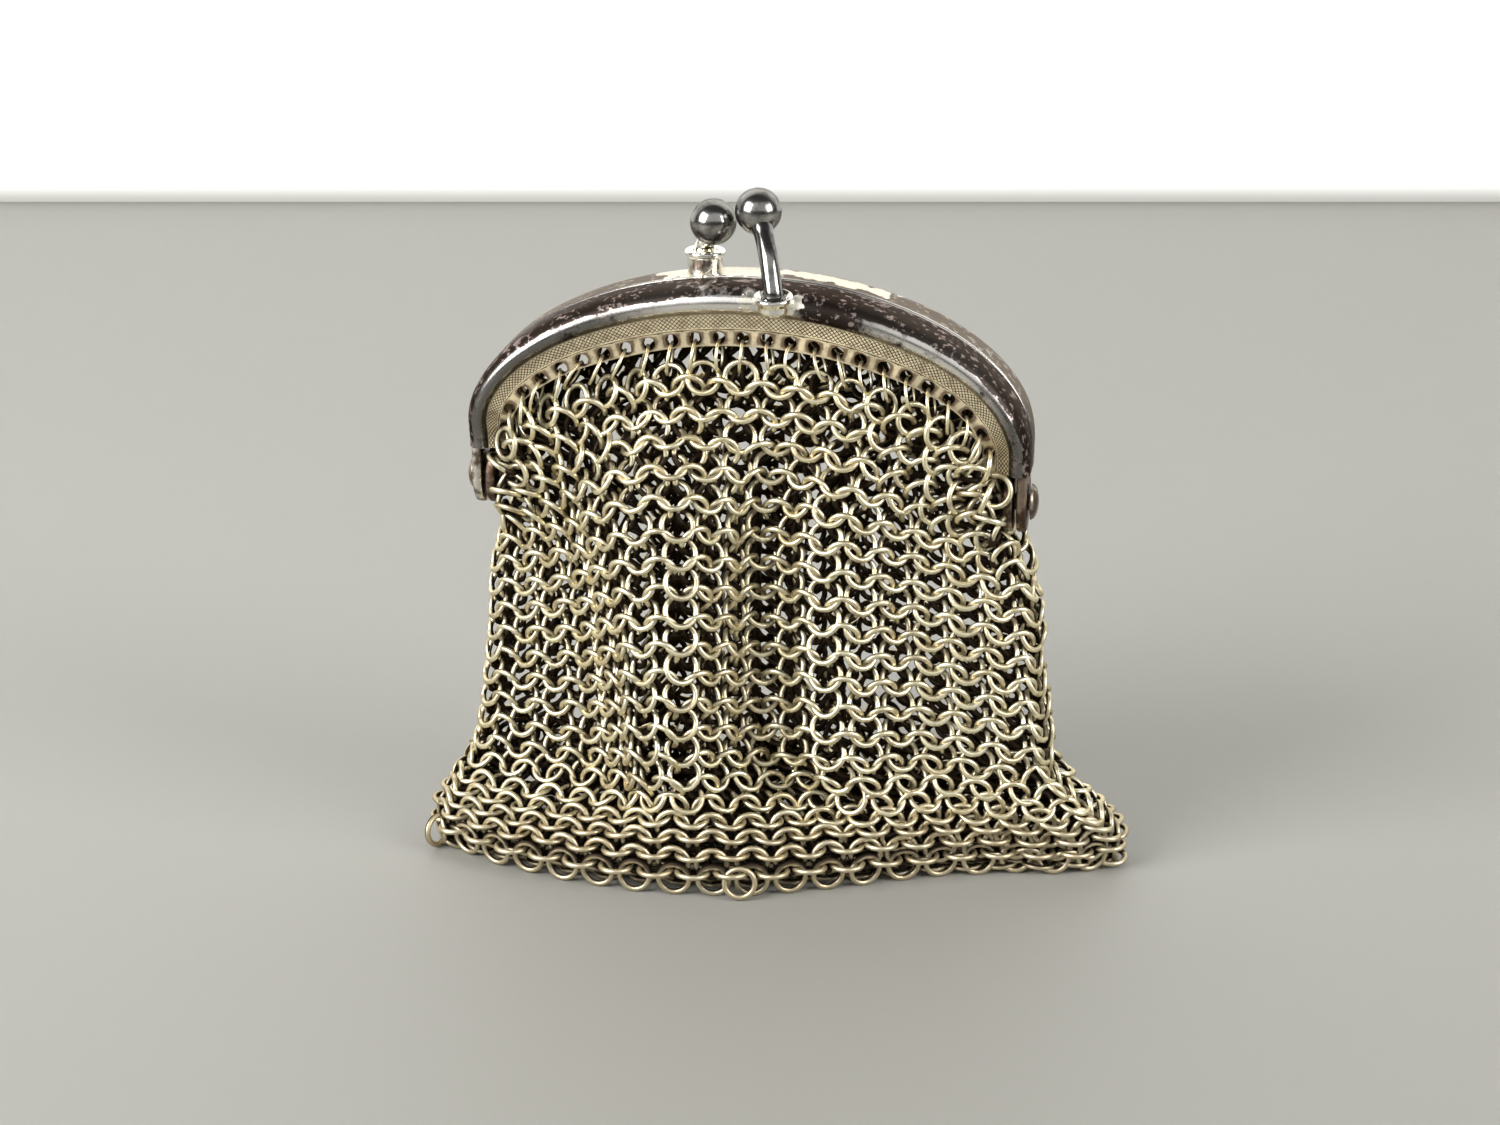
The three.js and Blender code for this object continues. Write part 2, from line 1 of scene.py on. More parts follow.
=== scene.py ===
"""Looks of a small chain-mail coin purse: an arched hinged frame, a ball clasp and a pouch of mail.

Lengths are in millimetres until Stock.mesh makes an object, which is in metres. Angles are in degrees unless
a docstring says radians.
The front of the purse faces -Y, and the origin is on the table under the middle of the frame.
"""

import logging
import math
from dataclasses import dataclass, field
from enum import Enum

import bpy
import numpy as np
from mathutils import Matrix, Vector


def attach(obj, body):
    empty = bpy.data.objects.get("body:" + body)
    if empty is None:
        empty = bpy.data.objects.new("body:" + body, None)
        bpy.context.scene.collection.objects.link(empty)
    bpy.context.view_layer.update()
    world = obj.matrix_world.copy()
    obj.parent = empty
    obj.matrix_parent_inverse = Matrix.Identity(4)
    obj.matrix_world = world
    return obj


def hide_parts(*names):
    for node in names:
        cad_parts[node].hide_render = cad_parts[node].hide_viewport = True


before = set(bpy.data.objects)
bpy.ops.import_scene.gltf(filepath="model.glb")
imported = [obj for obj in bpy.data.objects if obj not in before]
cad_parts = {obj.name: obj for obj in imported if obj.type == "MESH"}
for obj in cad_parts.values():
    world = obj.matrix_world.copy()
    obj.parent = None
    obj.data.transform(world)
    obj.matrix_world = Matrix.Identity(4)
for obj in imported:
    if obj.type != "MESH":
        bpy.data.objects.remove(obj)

log = logging.getLogger("coin_purse")

METRES = 0.001
Array = np.ndarray
Colour = tuple[float, float, float, float]
Material = bpy.types.Material
Socket = bpy.types.NodeSocket


class Side(Enum):
    """The two halves of the purse, by the sign of their Y."""

    FRONT = -1
    BACK = 1


class Slot(Enum):
    """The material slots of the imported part."""

    FRAME = "frame_silver"
    CLASP = "clasp_silver"
    RIVET = "rivet_metal"
    MAIL = "mail_metal"


@dataclass(frozen=True)
class Ease:
    """A smooth step: 0 at its start and 1 at its end, where the end may be the lower one."""

    start: float
    end: float

    def at(self, value: Array) -> Array:
        """The step at each value."""
        t = np.clip((np.asarray(value, float) - self.start) / (self.end - self.start), 0, 1)
        return t * t * (3 - 2 * t)


@dataclass(frozen=True)
class Grain:
    """A noise: how fine it is, how many finer layers it has, and how strong each of them is."""

    scale: float
    detail: float
    roughness: float = 0.5


def unit(vectors: Array) -> Array:
    """Vectors of length 1 along the last axis."""
    return vectors / np.maximum(np.linalg.norm(vectors, axis=-1, keepdims=True), 1e-9)


def read_table(keys: list[float], values: list[float], place: Array) -> Array:
    """Reads a table by a smooth curve through its rows.

    Args:
        keys: The rising key of each row.
        values: The value of each row.
        place: The keys to read the curve at.

    Returns:
        The value at each place.
    """
    k, v = np.array(keys, float), np.array(values, float)
    slope = np.empty_like(v)
    slope[1:-1] = (v[2:] - v[:-2]) / (k[2:] - k[:-2])
    slope[0] = (v[1] - v[0]) / (k[1] - k[0])
    slope[-1] = (v[-1] - v[-2]) / (k[-1] - k[-2])
    p = np.clip(np.asarray(place, float), k[0], k[-1])
    i = np.clip(np.searchsorted(k, p, side="right") - 1, 0, len(k) - 2)
    span = k[i + 1] - k[i]
    t = (p - k[i]) / span
    rest = 1 - t
    return (
        (1 + 2 * t) * rest**2 * v[i]
        + t * rest**2 * span * slope[i]
        + t**2 * (3 - 2 * t) * v[i + 1]
        - t**2 * rest * span * slope[i + 1]
    )


def run_length(line: Array) -> Array:
    """The length along a line up to each of its points."""
    return np.concatenate([[0], np.cumsum(np.linalg.norm(np.diff(line, axis=0), axis=1))])


def spaced(line: Array, shares: Array) -> Array:
    """The points at the given shares of a line's length."""
    length = run_length(line)
    return np.stack([np.interp(shares * length[-1], length, axis) for axis in line.T], -1)


def evenly(line: Array, count: int) -> Array:
    """Points at even distances along a line."""
    return spaced(line, np.linspace(0, 1, count))


def full_turn(count: int) -> Array:
    """Even angles once round, in radians."""
    return np.linspace(0, 2 * math.pi, count, endpoint=False)


@dataclass
class Shell:
    """A mesh in the making.

    Attributes:
        points: Corner points in millimetres.
        faces: Corner numbers of each face, as one array for each count of corners.
        values: Named numbers at each point, for the finishes to read.
    """

    points: Array
    faces: list[Array]
    values: dict[str, Array] = field(default_factory=dict)

    def joined(self, other: "Shell") -> "Shell":
        """This shell and another as one.

        Args:
            other: The shell to add.

        Returns:
            A shell with the points, faces and values of both. A value that one lacks is 0 there.
        """
        shift = len(self.points)
        values = {}
        for name in {**self.values, **other.values}:
            parts = [
                shell.values.get(name, np.zeros(len(shell.points))) for shell in (self, other)
            ]
            values[name] = np.concatenate(parts)
        return Shell(
            np.concatenate([self.points, other.points]),
            self.faces + [face + shift for face in other.faces],
            values,
        )


def tube_faces(rows: int, sides: int, closed: bool) -> Array:
    """Four-cornered faces of a tube whose points run round it row by row.

    Args:
        rows: How many rows of points the tube has.
        sides: How many points a row has.
        closed: True if the last row joins the first.

    Returns:
        The corners of each face, pointing out where the rows turn left-handed about the way along.
    """
    here = np.arange(rows * sides).reshape(rows, sides)
    along = np.roll(here, -1, axis=0) if closed else here[1:]
    here = here if closed else here[:-1]
    across = np.roll(here, -1, axis=1)
    further = np.roll(along, -1, axis=1)
    return np.stack([here, across, further, along], axis=-1).reshape(-1, 4)


def capped_tube(rows: int, sides: int) -> list[Array]:
    """The faces of an open tube, as tube_faces gives them, and its two end caps."""
    number = np.arange(rows * sides).reshape(rows, sides)
    return [tube_faces(rows, sides, closed=False), np.stack([number[0][::-1], number[-1]])]


class Stock:
    """Makes Blender objects from shells and hands them to the frame."""

    @staticmethod
    def mesh(name: str, shell: Shell, crease: float) -> bpy.types.Object:
        """Makes an object of a shell.

        Args:
            name: The object's name.
            shell: The shell, in millimetres.
            crease: The angle in degrees above which an edge stays sharp.

        Returns:
            The new object, in metres.
        """
        data = bpy.data.meshes.new(name)
        counts = np.concatenate([np.full(len(f), f.shape[1]) for f in shell.faces])
        corners = np.concatenate([f.ravel() for f in shell.faces])
        data.vertices.add(len(shell.points))
        data.vertices.foreach_set("co", (shell.points * METRES).ravel().astype(np.float32))
        data.loops.add(len(corners))
        data.loops.foreach_set("vertex_index", corners.astype(np.int32))
        data.polygons.add(len(counts))
        starts = np.concatenate([[0], np.cumsum(counts)[:-1]])
        data.polygons.foreach_set("loop_start", starts.astype(np.int32))
        data.polygons.foreach_set("use_smooth", np.ones(len(counts), bool))
        data.update(calc_edges=True)
        for key, value in shell.values.items():
            layer = data.attributes.new(key, "FLOAT", "POINT")
            layer.data.foreach_set("value", np.asarray(value, np.float32))
        data.set_sharp_from_angle(angle=math.radians(crease))
        piece = bpy.data.objects.new(name, data)
        bpy.context.scene.collection.objects.link(piece)
        return piece

    @classmethod
    def add(
        cls, name: str, shell: Shell, finish: Material, slot: Slot, node: str, crease: float = 40.0
    ) -> bpy.types.Object:
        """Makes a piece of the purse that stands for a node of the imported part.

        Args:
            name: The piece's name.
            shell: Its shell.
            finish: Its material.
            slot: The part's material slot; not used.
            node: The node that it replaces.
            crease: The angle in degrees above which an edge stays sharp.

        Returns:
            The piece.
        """
        piece = cls.mesh(name, shell, crease)
        piece.data.materials.append(finish)
        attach(piece, "root")
        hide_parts(node)
        log.info("%s: %d faces for %s", name, len(piece.data.polygons), node)
        return piece


class NodeBench:
    """Adds and links the nodes of one material or node group."""

    def __init__(self, tree: bpy.types.NodeTree) -> None:
        """Takes the node tree to work on."""
        self.tree = tree
        self._read: dict[str, Socket] = {}

    def feed(self, socket: Socket, value: object) -> None:
        """Links another node's output into an input, or sets the input to a number or colour.

        Args:
            socket: The input.
            value: The output, number or colour.
        """
        if isinstance(value, Socket):
            self.tree.links.new(value, socket)
        else:
            socket.default_value = value

    def fill(self, node: bpy.types.Node, inputs: dict) -> None:
        """Feeds the named or numbered inputs of a node."""
        for key, value in inputs.items():
            self.feed(node.inputs[key], value)

    def node(self, kind: str, inputs: dict | None = None, **settings: object) -> bpy.types.Node:
        """Adds a node.

        Args:
            kind: The node's type name without its ShaderNode prefix.
            inputs: A number, colour or socket for each named or numbered input.
            settings: The node's own properties, which are set before its inputs.

        Returns:
            The node.
        """
        made = self.tree.nodes.new("ShaderNode" + kind)
        for key, value in settings.items():
            setattr(made, key, value)
        self.fill(made, inputs or {})
        return made

    def math(self, operation: str, *terms: object) -> Socket:
        """The output of a Math node with these numbers or sockets as its terms."""
        return self.node("Math", dict(enumerate(terms)), operation=operation).outputs[0]

    def most(self, values: list[Socket]) -> Socket:
        """The greatest of some values.

        Args:
            values: The values, one or more.

        Returns:
            The greatest of them at each point.
        """
        top = values[0]
        for value in values[1:]:
            top = self.math("MAXIMUM", top, value)
        return top

    def step(self, value: Socket, ease: Ease) -> Socket:
        """A smooth step of a value.

        Args:
            value: The value.
            ease: Where the step starts and ends.

        Returns:
            The step, from 0 to 1.
        """
        rising = ease.start < ease.end
        limits = {
            "Value": value,
            "From Min": min(ease.start, ease.end),
            "From Max": max(ease.start, ease.end),
            "To Min": 0 if rising else 1,
            "To Max": 1 if rising else 0,
        }
        return self.node("MapRange", limits, interpolation_type="SMOOTHSTEP").outputs[0]

    def blend(self, factor: object, first: object, second: object) -> Socket:
        """A colour between two, by a factor.

        Args:
            factor: How much of the second colour it has.
            first: The first.
            second: The second.

        Returns:
            The colour.
        """
        made = self.node("Mix", data_type="RGBA")
        sockets = {socket.identifier: socket for socket in (*made.inputs, *made.outputs)}
        for key, value in (("Factor_Float", factor), ("A_Color", first), ("B_Color", second)):
            self.feed(sockets[key], value)
        return sockets["Result_Color"]

    def noise(self, place: Socket, grain: Grain, scale: Socket | None = None) -> Socket:
        """Noise from 0 to 1 at a place, as fine as the scale or else the grain says.

        Args:
            place: The place.
            grain: The noise.
            scale: How fine it is, if not as the grain says.

        Returns:
            The noise.
        """
        inputs = {"Vector": place, "Detail": grain.detail, "Roughness": grain.roughness}
        inputs["Scale"] = grain.scale if scale is None else scale
        return self.node("TexNoise", inputs).outputs["Fac"]

    def bump(self, height: Socket, strength: float, distance: float) -> Socket:
        """The way that a surface faces where a height of 1 lifts it by a distance in metres."""
        inputs = {"Height": height, "Strength": strength, "Distance": distance}
        return self.node("Bump", inputs).outputs["Normal"]

    def value_at(self, name: str) -> Socket:
        """A number that the mesh holds at its points.

        Args:
            name: The number's name in the mesh.

        Returns:
            The number at each point.
        """
        if name not in self._read:
            self._read[name] = self.node("Attribute", attribute_name=name).outputs["Fac"]
        return self._read[name]

    def place(self) -> Socket:
        """The point's place in the purse, in metres."""
        if "place" not in self._read:
            self._read["place"] = self.node("TexCoord").outputs["Object"]
        return self._read["place"]


class Effects:
    """The node groups that several finishes share.

    Attributes:
        blotch: The noise of the tarnish's blotches.
        blotch_edge: From bare metal to tarnish, by how far the noise is over its level.
        level_span: How far the level moves from no cover to full cover.
        level_start: The level at full cover.
        speck: The noise of the specks in the tarnish.
        speck_edge: From tarnish to speck.
        crowd: The noise by which the specks crowd together.
        crowd_share: How much of it is added to the noise of the specks.
        dent: The noise of the unevenness.
        smear: The noise of the dull smears.
    """

    blotch = Grain(300.0, 5, 0.62)
    blotch_edge = Ease(-0.08, 0.08)
    level_span = 0.5
    level_start = 0.25
    speck = Grain(1500.0, 3, 0.55)
    speck_edge = Ease(0.75, 0.86)
    crowd = Grain(380.0, 2)
    crowd_share = 0.4
    dent = Grain(900.0, 4)
    smear = Grain(420.0, 2)
    _made: dict[str, bpy.types.NodeTree] = {}

    @classmethod
    def place(cls, bench: NodeBench, name: str, inputs: dict[str, object]) -> bpy.types.Node:
        """Puts a shared group into a material.

        Args:
            bench: The material's bench.
            name: The group's name, which is tarnish or handling.
            inputs: A number or socket for each input that isn't left at its default.

        Returns:
            The group node.
        """
        if name not in cls._made:
            cls._made[name] = cls._tarnish() if name == "tarnish" else cls._handling()
        return bench.node("Group", {"Place": bench.place(), **inputs}, node_tree=cls._made[name])

    @staticmethod
    def _group(
        name: str, inputs: dict[str, float], outputs: tuple[str, str]
    ) -> tuple[NodeBench, bpy.types.Node, bpy.types.Node]:
        """Starts a node group.

        Args:
            name: The group's name.
            inputs: The default of each named input, beside the place.
            outputs: The named outputs.

        Returns:
            The group's bench, its input node and its output node.
        """
        tree = bpy.data.node_groups.new(name, "ShaderNodeTree")
        tree.interface.new_socket("Place", in_out="INPUT", socket_type="NodeSocketVector")
        for key, default in inputs.items():
            socket = tree.interface.new_socket(key, in_out="INPUT", socket_type="NodeSocketFloat")
            socket.default_value = default
        for key in outputs:
            tree.interface.new_socket(key, in_out="OUTPUT", socket_type="NodeSocketFloat")
        return NodeBench(tree), tree.nodes.new("NodeGroupInput"), tree.nodes.new("NodeGroupOutput")

    @classmethod
    def _tarnish(cls) -> bpy.types.NodeTree:
        """Blotches of tarnish with small bright specks left in them.

        Returns:
            The node group.
        """
        inputs = {"Blotches": cls.blotch.scale, "Specks": cls.speck.scale, "Cover": 0.5}
        bench, entry, leave = cls._group("tarnish", inputs, ("Stain", "Speck"))
        place = entry.outputs["Place"]
        bare = bench.math("SUBTRACT", 1.0, entry.outputs["Cover"])
        level = bench.math("MULTIPLY_ADD", bare, cls.level_span, cls.level_start)
        blotch = bench.noise(place, cls.blotch, entry.outputs["Blotches"])
        stain = bench.step(bench.math("SUBTRACT", blotch, level), cls.blotch_edge)
        speck = bench.noise(place, cls.speck, entry.outputs["Specks"])
        crowded = bench.math("MULTIPLY_ADD", bench.noise(place, cls.crowd), cls.crowd_share, speck)
        bench.fill(leave, {"Stain": stain, "Speck": bench.step(crowded, cls.speck_edge)})
        return bench.tree

    @classmethod
    def _handling(cls) -> bpy.types.NodeTree:
        """Fine unevenness of metal that has been handled for years.

        Returns:
            The node group.
        """
        bench, entry, leave = cls._group("handling", {"Size": cls.dent.scale}, ("Height", "Dullness"))
        place = entry.outputs["Place"]
        dents = bench.noise(place, cls.dent, entry.outputs["Size"])
        bench.fill(leave, {"Height": dents, "Dullness": bench.noise(place, cls.smear)})
        return bench.tree


def new_material(name: str) -> tuple[Material, NodeBench, bpy.types.Node]:
    """Starts a metal finish.

    Args:
        name: The material's name.

    Returns:
        The material, its bench and its Principled node.
    """
    material = bpy.data.materials.new(name)
    material.use_nodes = True
    principled = material.node_tree.nodes["Principled BSDF"]
    principled.inputs["Metallic"].default_value = 1.0
    return material, NodeBench(material.node_tree), principled


@dataclass(frozen=True)
class Wear:
    """A marked stretch of the arch, such as one that is worn bright.

    Attributes:
        middle: Its middle, in millimetres along the arch.
        reach: How far it reaches from there.
        fade: How far beyond its reach it fades out.
        core: How far inside its reach it starts to fade.
    """

    middle: float
    reach: float
    fade: float = 3.0
    core: float = 2.0

    def mark(self, bench: NodeBench) -> Socket:
        """1 in the stretch and 0 outside it."""
        off = bench.math("ABSOLUTE", bench.math("SUBTRACT", bench.value_at("along"), self.middle))
        return bench.step(off, Ease(self.reach + self.fade, self.reach - self.core))


@dataclass(frozen=True)
class SolderPatch:
    """A smear of bright solder on a frame half.

    Attributes:
        start: Where it starts along the arch.
        end: Where it ends along the arch.
        top: Where it starts across the section.
        foot: Where it ends across the section.
        ragged: How much more ragged its ends are than its sides.
        edge: From bare metal to solder, by how far a point is beyond the patch.
    """

    start: float
    end: float
    top: float
    foot: float
    ragged: float = 1.5
    edge: Ease = Ease(0.2, -0.1)

    @staticmethod
    def _beyond(bench: NodeBench, name: str, low: float, high: float) -> Socket:
        """How far a point is beyond two ends, by one of the mesh's values."""
        off = bench.math("ABSOLUTE", bench.math("SUBTRACT", bench.value_at(name), (low + high) / 2))
        return bench.math("SUBTRACT", off, (high - low) / 2)

    def mark(self, bench: NodeBench, wobble: Socket) -> Socket:
        """1 on the solder and 0 beside it, with edges shifted by the wobble.

        Args:
            bench: The material's bench.
            wobble: How far the edges are shifted at each point.

        Returns:
            The mark at each point.
        """
        ends = self._beyond(bench, "along", self.start, self.end)
        ends = bench.math("MULTIPLY_ADD", wobble, self.ragged, ends)
        sides = bench.math("ADD", wobble, self._beyond(bench, "across", self.top, self.foot))
        return bench.step(bench.most([ends, sides]), self.edge)


@dataclass(frozen=True)
class FrameSilver:
    """Old silver plate on a frame half: tarnished crown, worn shoulder with a painted highlight, engraved
    flange.

    Attributes:
        name: The material's name.
        patches: Where there is solder.
        bright: Colour of the worn silver, which also serves as the shoulder's painted highlight.
        dull: Colour of the silver elsewhere.
        stain: Colour of the tarnish.
        speck: Colour of the specks in the tarnish.
        flange: Colour of the engraved flange.
        groove: Colour in the engraved lines.
        rust: Colour of the stains round the holes.
        solder: Colour of the solder.
        glance: Tint of the shine at a glancing angle.
        crown_cover: How much of the crown the tarnish covers.
        shoulder_cover: How much of the shoulder it covers.
        stain_most: How much of the metal's colour it hides at most.
        blotches: How fine its blotches are.
        soot: Where the shoulder is as dark as the crown.
        wear_and_highlight: Where the shoulder is worn bright and painted lighter to stand for its highlight:
            partly real wear, partly painted highlight.
        worn_crown: Where the tarnish is thin.
        worn_share: How much less it covers there.
        lip: From the crown to the bright lip at the seam, across the section.
        crown: From the shoulder to the crown, across the section.
        flange_start: From the shoulder to the flange, across the section.
        root_soot: From the flange to the soot at its root, across the section.
        root_share: How dark this soot is.
        border: How far across the section the flange's border line runs.
        border_line: From beside this line to it, by the distance from its middle.
        hatch_start: Where the engraved lines start, across the section.
        hatch_end: Where they end, across the section.
        hatch_pitch: The distance of the lines along the arch.
        hatch_slope: How far along the arch a line runs for each millimetre across it.
        hatch_line: From beside a line to it, in shares of the distance of the lines.
        solder_grain: The noise that makes the solder's edges ragged.
        solder_wobble: How far it moves them.
        patch_grain: The noise of the brown stains on the flange.
        halo_spread: How much this noise spreads the stains round the holes.
        halo_edge: From clean metal to stain round the holes.
        halo_share: How dark these stains are.
        dirt_edge: From clean metal to stain elsewhere.
        dirt_share: How dark those stains are.
        roughness: Roughness of the clean silver.
        stain_roughness: How much rougher the tarnish is.
        flange_roughness: How much rougher the flange is.
        smear_roughness: How much rougher the dull smears are.
        dents: How fine the unevenness is.
        dent_height: How high it is.
        groove_height: How high the engraved lines are.
        solder_height: How high the solder is.
        bump_strength: How strong all these heights are.
        bump_distance: What a height of 1 is, in metres.
    """

    name: str
    patches: tuple[SolderPatch, ...]
    bright: Colour = (0.83, 0.80, 0.75, 1)
    dull: Colour = (0.20, 0.19, 0.18, 1)
    stain: Colour = (0.028, 0.020, 0.016, 1)
    speck: Colour = (0.36, 0.285, 0.26, 1)
    flange: Colour = (0.88, 0.77, 0.54, 1)
    groove: Colour = (0.06, 0.042, 0.025, 1)
    rust: Colour = (0.15, 0.085, 0.045, 1)
    solder: Colour = (0.95, 0.91, 0.78, 1)
    glance: Colour = (0.52, 0.49, 0.47, 1)
    crown_cover: float = 0.97
    shoulder_cover: float = 0.3
    stain_most: float = 0.97
    blotches: float = 420.0
    soot: Wear = Wear(9.5, 2.0)
    wear_and_highlight: tuple[Wear, ...] = (Wear(-3.5, 4.5, fade=9.0), Wear(21.0, 4.0, fade=9.0))
    worn_crown: Wear = Wear(-3.5, 4.0)
    worn_share: float = 0.33
    lip: Ease = Ease(0.6, 0.35)
    crown: Ease = Ease(5.85, 5.25)
    flange_start: Ease = Ease(7.75, 7.95)
    root_soot: Ease = Ease(8.15, 7.95)
    root_share: float = 0.6
    border: float = 9.66
    border_line: Ease = Ease(0.12, 0.04)
    hatch_start: Ease = Ease(8.0, 8.1)
    hatch_end: Ease = Ease(9.51, 9.41)
    hatch_pitch: float = 0.54
    hatch_slope: float = 1.2
    hatch_line: Ease = Ease(0.22, 0.06)
    solder_grain: Grain = Grain(800.0, 3)
    solder_wobble: float = 1.8
    patch_grain: Grain = Grain(900.0, 4)
    halo_spread: float = 1.3
    halo_edge: Ease = Ease(0.2, 0.8)
    halo_share: float = 0.85
    dirt_edge: Ease = Ease(0.45, 0.7)
    dirt_share: float = 0.4
    roughness: float = 0.2
    stain_roughness: float = 0.2
    flange_roughness: float = 0.2
    smear_roughness: float = 0.12
    dents: float = 1600.0
    dent_height: float = 0.3
    groove_height: float = -1.0
    solder_height: float = 2.0
    bump_strength: float = 0.5
    bump_distance: float = 0.00006

    def material(self) -> Material:
        """The finish as a material.

        Returns:
            The material.
        """
        material, bench, principled = new_material(self.name)
        flange = bench.step(bench.value_at("across"), self.flange_start)
        tarnish = Effects.place(bench, "tarnish", {"Blotches": self.blotches, "Cover": self._cover(bench)})
        lip = bench.step(bench.value_at("across"), self.lip)
        bare = bench.math("SUBTRACT", self.stain_most, lip)
        stained = bench.math("MULTIPLY", tarnish.outputs["Stain"], bare)
        dark = bench.blend(tarnish.outputs["Speck"], self.stain, self.speck)
        # Worn bright stretches of the shoulder: partly real wear, partly painted highlight.
        rubbed = bench.most([wear.mark(bench) for wear in self.wear_and_highlight])
        shell = bench.blend(stained, bench.blend(rubbed, self.dull, self.bright), dark)
        ragged = bench.noise(bench.place(), self.solder_grain)
        wobble = bench.math("MULTIPLY_ADD", ragged, 2 * self.solder_wobble, -self.solder_wobble)
        solder = bench.most([patch.mark(bench, wobble) for patch in self.patches])
        shell = bench.blend(solder, shell, self.solder)
        groove = self._hatching(bench)
        handling = Effects.place(bench, "handling", {"Size": self.dents})
        rough = bench.math("MULTIPLY_ADD", stained, self.stain_roughness, self.roughness)
        rough = bench.math("MULTIPLY_ADD", flange, self.flange_roughness, rough)
        rough = bench.math("MULTIPLY_ADD", handling.outputs["Dullness"], self.smear_roughness, rough)
        height = bench.math("MULTIPLY", handling.outputs["Height"], self.dent_height)
        cut = bench.math("MULTIPLY", groove, flange)
        height = bench.math("MULTIPLY_ADD", cut, self.groove_height, height)
        height = bench.math("MULTIPLY_ADD", solder, self.solder_height, height)
        finish = {
            "Base Color": bench.blend(flange, shell, self._flange_colour(bench, groove)),
            "Roughness": rough,
            "Normal": bench.bump(height, self.bump_strength, self.bump_distance),
            "Specular Tint": self.glance,
        }
        bench.fill(principled, finish)
        return material

    def _cover(self, bench: NodeBench) -> Socket:
        """How much of the metal the tarnish covers.

        Args:
            bench: The material's bench.

        Returns:
            The cover at each point, from 0 to 1.
        """
        crown = bench.step(bench.value_at("across"), self.crown)
        sooty = bench.most([crown, self.soot.mark(bench)])
        cover = bench.math("MULTIPLY_ADD", sooty, self.crown_cover - self.shoulder_cover, self.shoulder_cover)
        worn = bench.math("MULTIPLY", self.worn_crown.mark(bench), self.worn_share)
        return bench.math("SUBTRACT", cover, worn)

    def _flange_colour(self, bench: NodeBench, groove: Socket) -> Socket:
        """The flange's colour, sooty at its root and in the lines and brown round the holes.

        Args:
            bench: The material's bench.
            groove: 1 in an engraved line and 0 beside it.

        Returns:
            The colour.
        """
        root = bench.step(bench.value_at("across"), self.root_soot)
        soot = bench.most([groove, bench.math("MULTIPLY", root, self.root_share)])
        engraved = bench.blend(soot, self.flange, self.groove)
        patchy = bench.noise(bench.place(), self.patch_grain)
        near = bench.math("SUBTRACT", bench.value_at("halo"), self.halo_spread / 2)
        halo = bench.math("MULTIPLY_ADD", patchy, self.halo_spread, near)
        rust = bench.math("MULTIPLY", bench.step(halo, self.halo_edge), self.halo_share)
        dirt = bench.math("MULTIPLY", bench.step(patchy, self.dirt_edge), self.dirt_share)
        return bench.blend(bench.most([rust, dirt]), engraved, self.rust)

    def _hatching(self, bench: NodeBench) -> Socket:
        """1 in the border line and in the crossed lines above it that are engraved on the flange, else 0.

        Args:
            bench: The material's bench.

        Returns:
            The mark at each point.
        """
        across = bench.value_at("across")
        cut = Ease(self.hatch_line.start * self.hatch_pitch, self.hatch_line.end * self.hatch_pitch)
        lines = []
        for slope in (self.hatch_slope, -self.hatch_slope):
            slant = bench.math("MULTIPLY_ADD", across, slope, bench.value_at("along"))
            lines.append(bench.step(bench.math("PINGPONG", slant, self.hatch_pitch / 2), cut))
        ends = [bench.step(across, ease) for ease in (self.hatch_start, self.hatch_end)]
        hatched = bench.math("MULTIPLY", bench.most(lines), bench.math("MULTIPLY", *ends))
        off = bench.math("ABSOLUTE", bench.math("SUBTRACT", across, self.border))
        return bench.most([hatched, bench.step(off, self.border_line)])


@dataclass(frozen=True)
class StainedMetal:
    """Plain metal with tarnish blotches.

    Attributes:
        name: The material's name.
        bright: Colour of the clean metal.
        stain: Colour of the tarnish.
        cover: How much of it the tarnish covers.
        roughness: Roughness of the clean metal.
        stain_roughness: How much rougher the tarnish is.
        edge: How much of its shine the metal keeps at a glancing angle.
        blotches: How fine the blotches are.
        dents: How fine the unevenness is.
        bump_strength: How strong it is.
        bump_distance: How high it is, in metres.
    """

    name: str
    bright: Colour
    stain: Colour
    cover: float
    roughness: float
    stain_roughness: float = 0.2
    edge: float = 1.0
    blotches: float = 500.0
    dents: float = 1200.0
    bump_strength: float = 0.25
    bump_distance: float = 0.00004

    def material(self) -> Material:
        """The finish as a material.

        Returns:
            The material.
        """
        material, bench, principled = new_material(self.name)
        tarnish = Effects.place(bench, "tarnish", {"Blotches": self.blotches, "Cover": self.cover})
        handling = Effects.place(bench, "handling", {"Size": self.dents})
        stain = tarnish.outputs["Stain"]
        finish = {
            "Base Color": bench.blend(stain, self.bright, self.stain),
            "Roughness": bench.math("MULTIPLY_ADD", stain, self.stain_roughness, self.roughness),
            "Normal": bench.bump(handling.outputs["Height"], self.bump_strength, self.bump_distance),
            "Specular Tint": (self.edge, self.edge, self.edge, 1),
        }
        bench.fill(principled, finish)
        return material


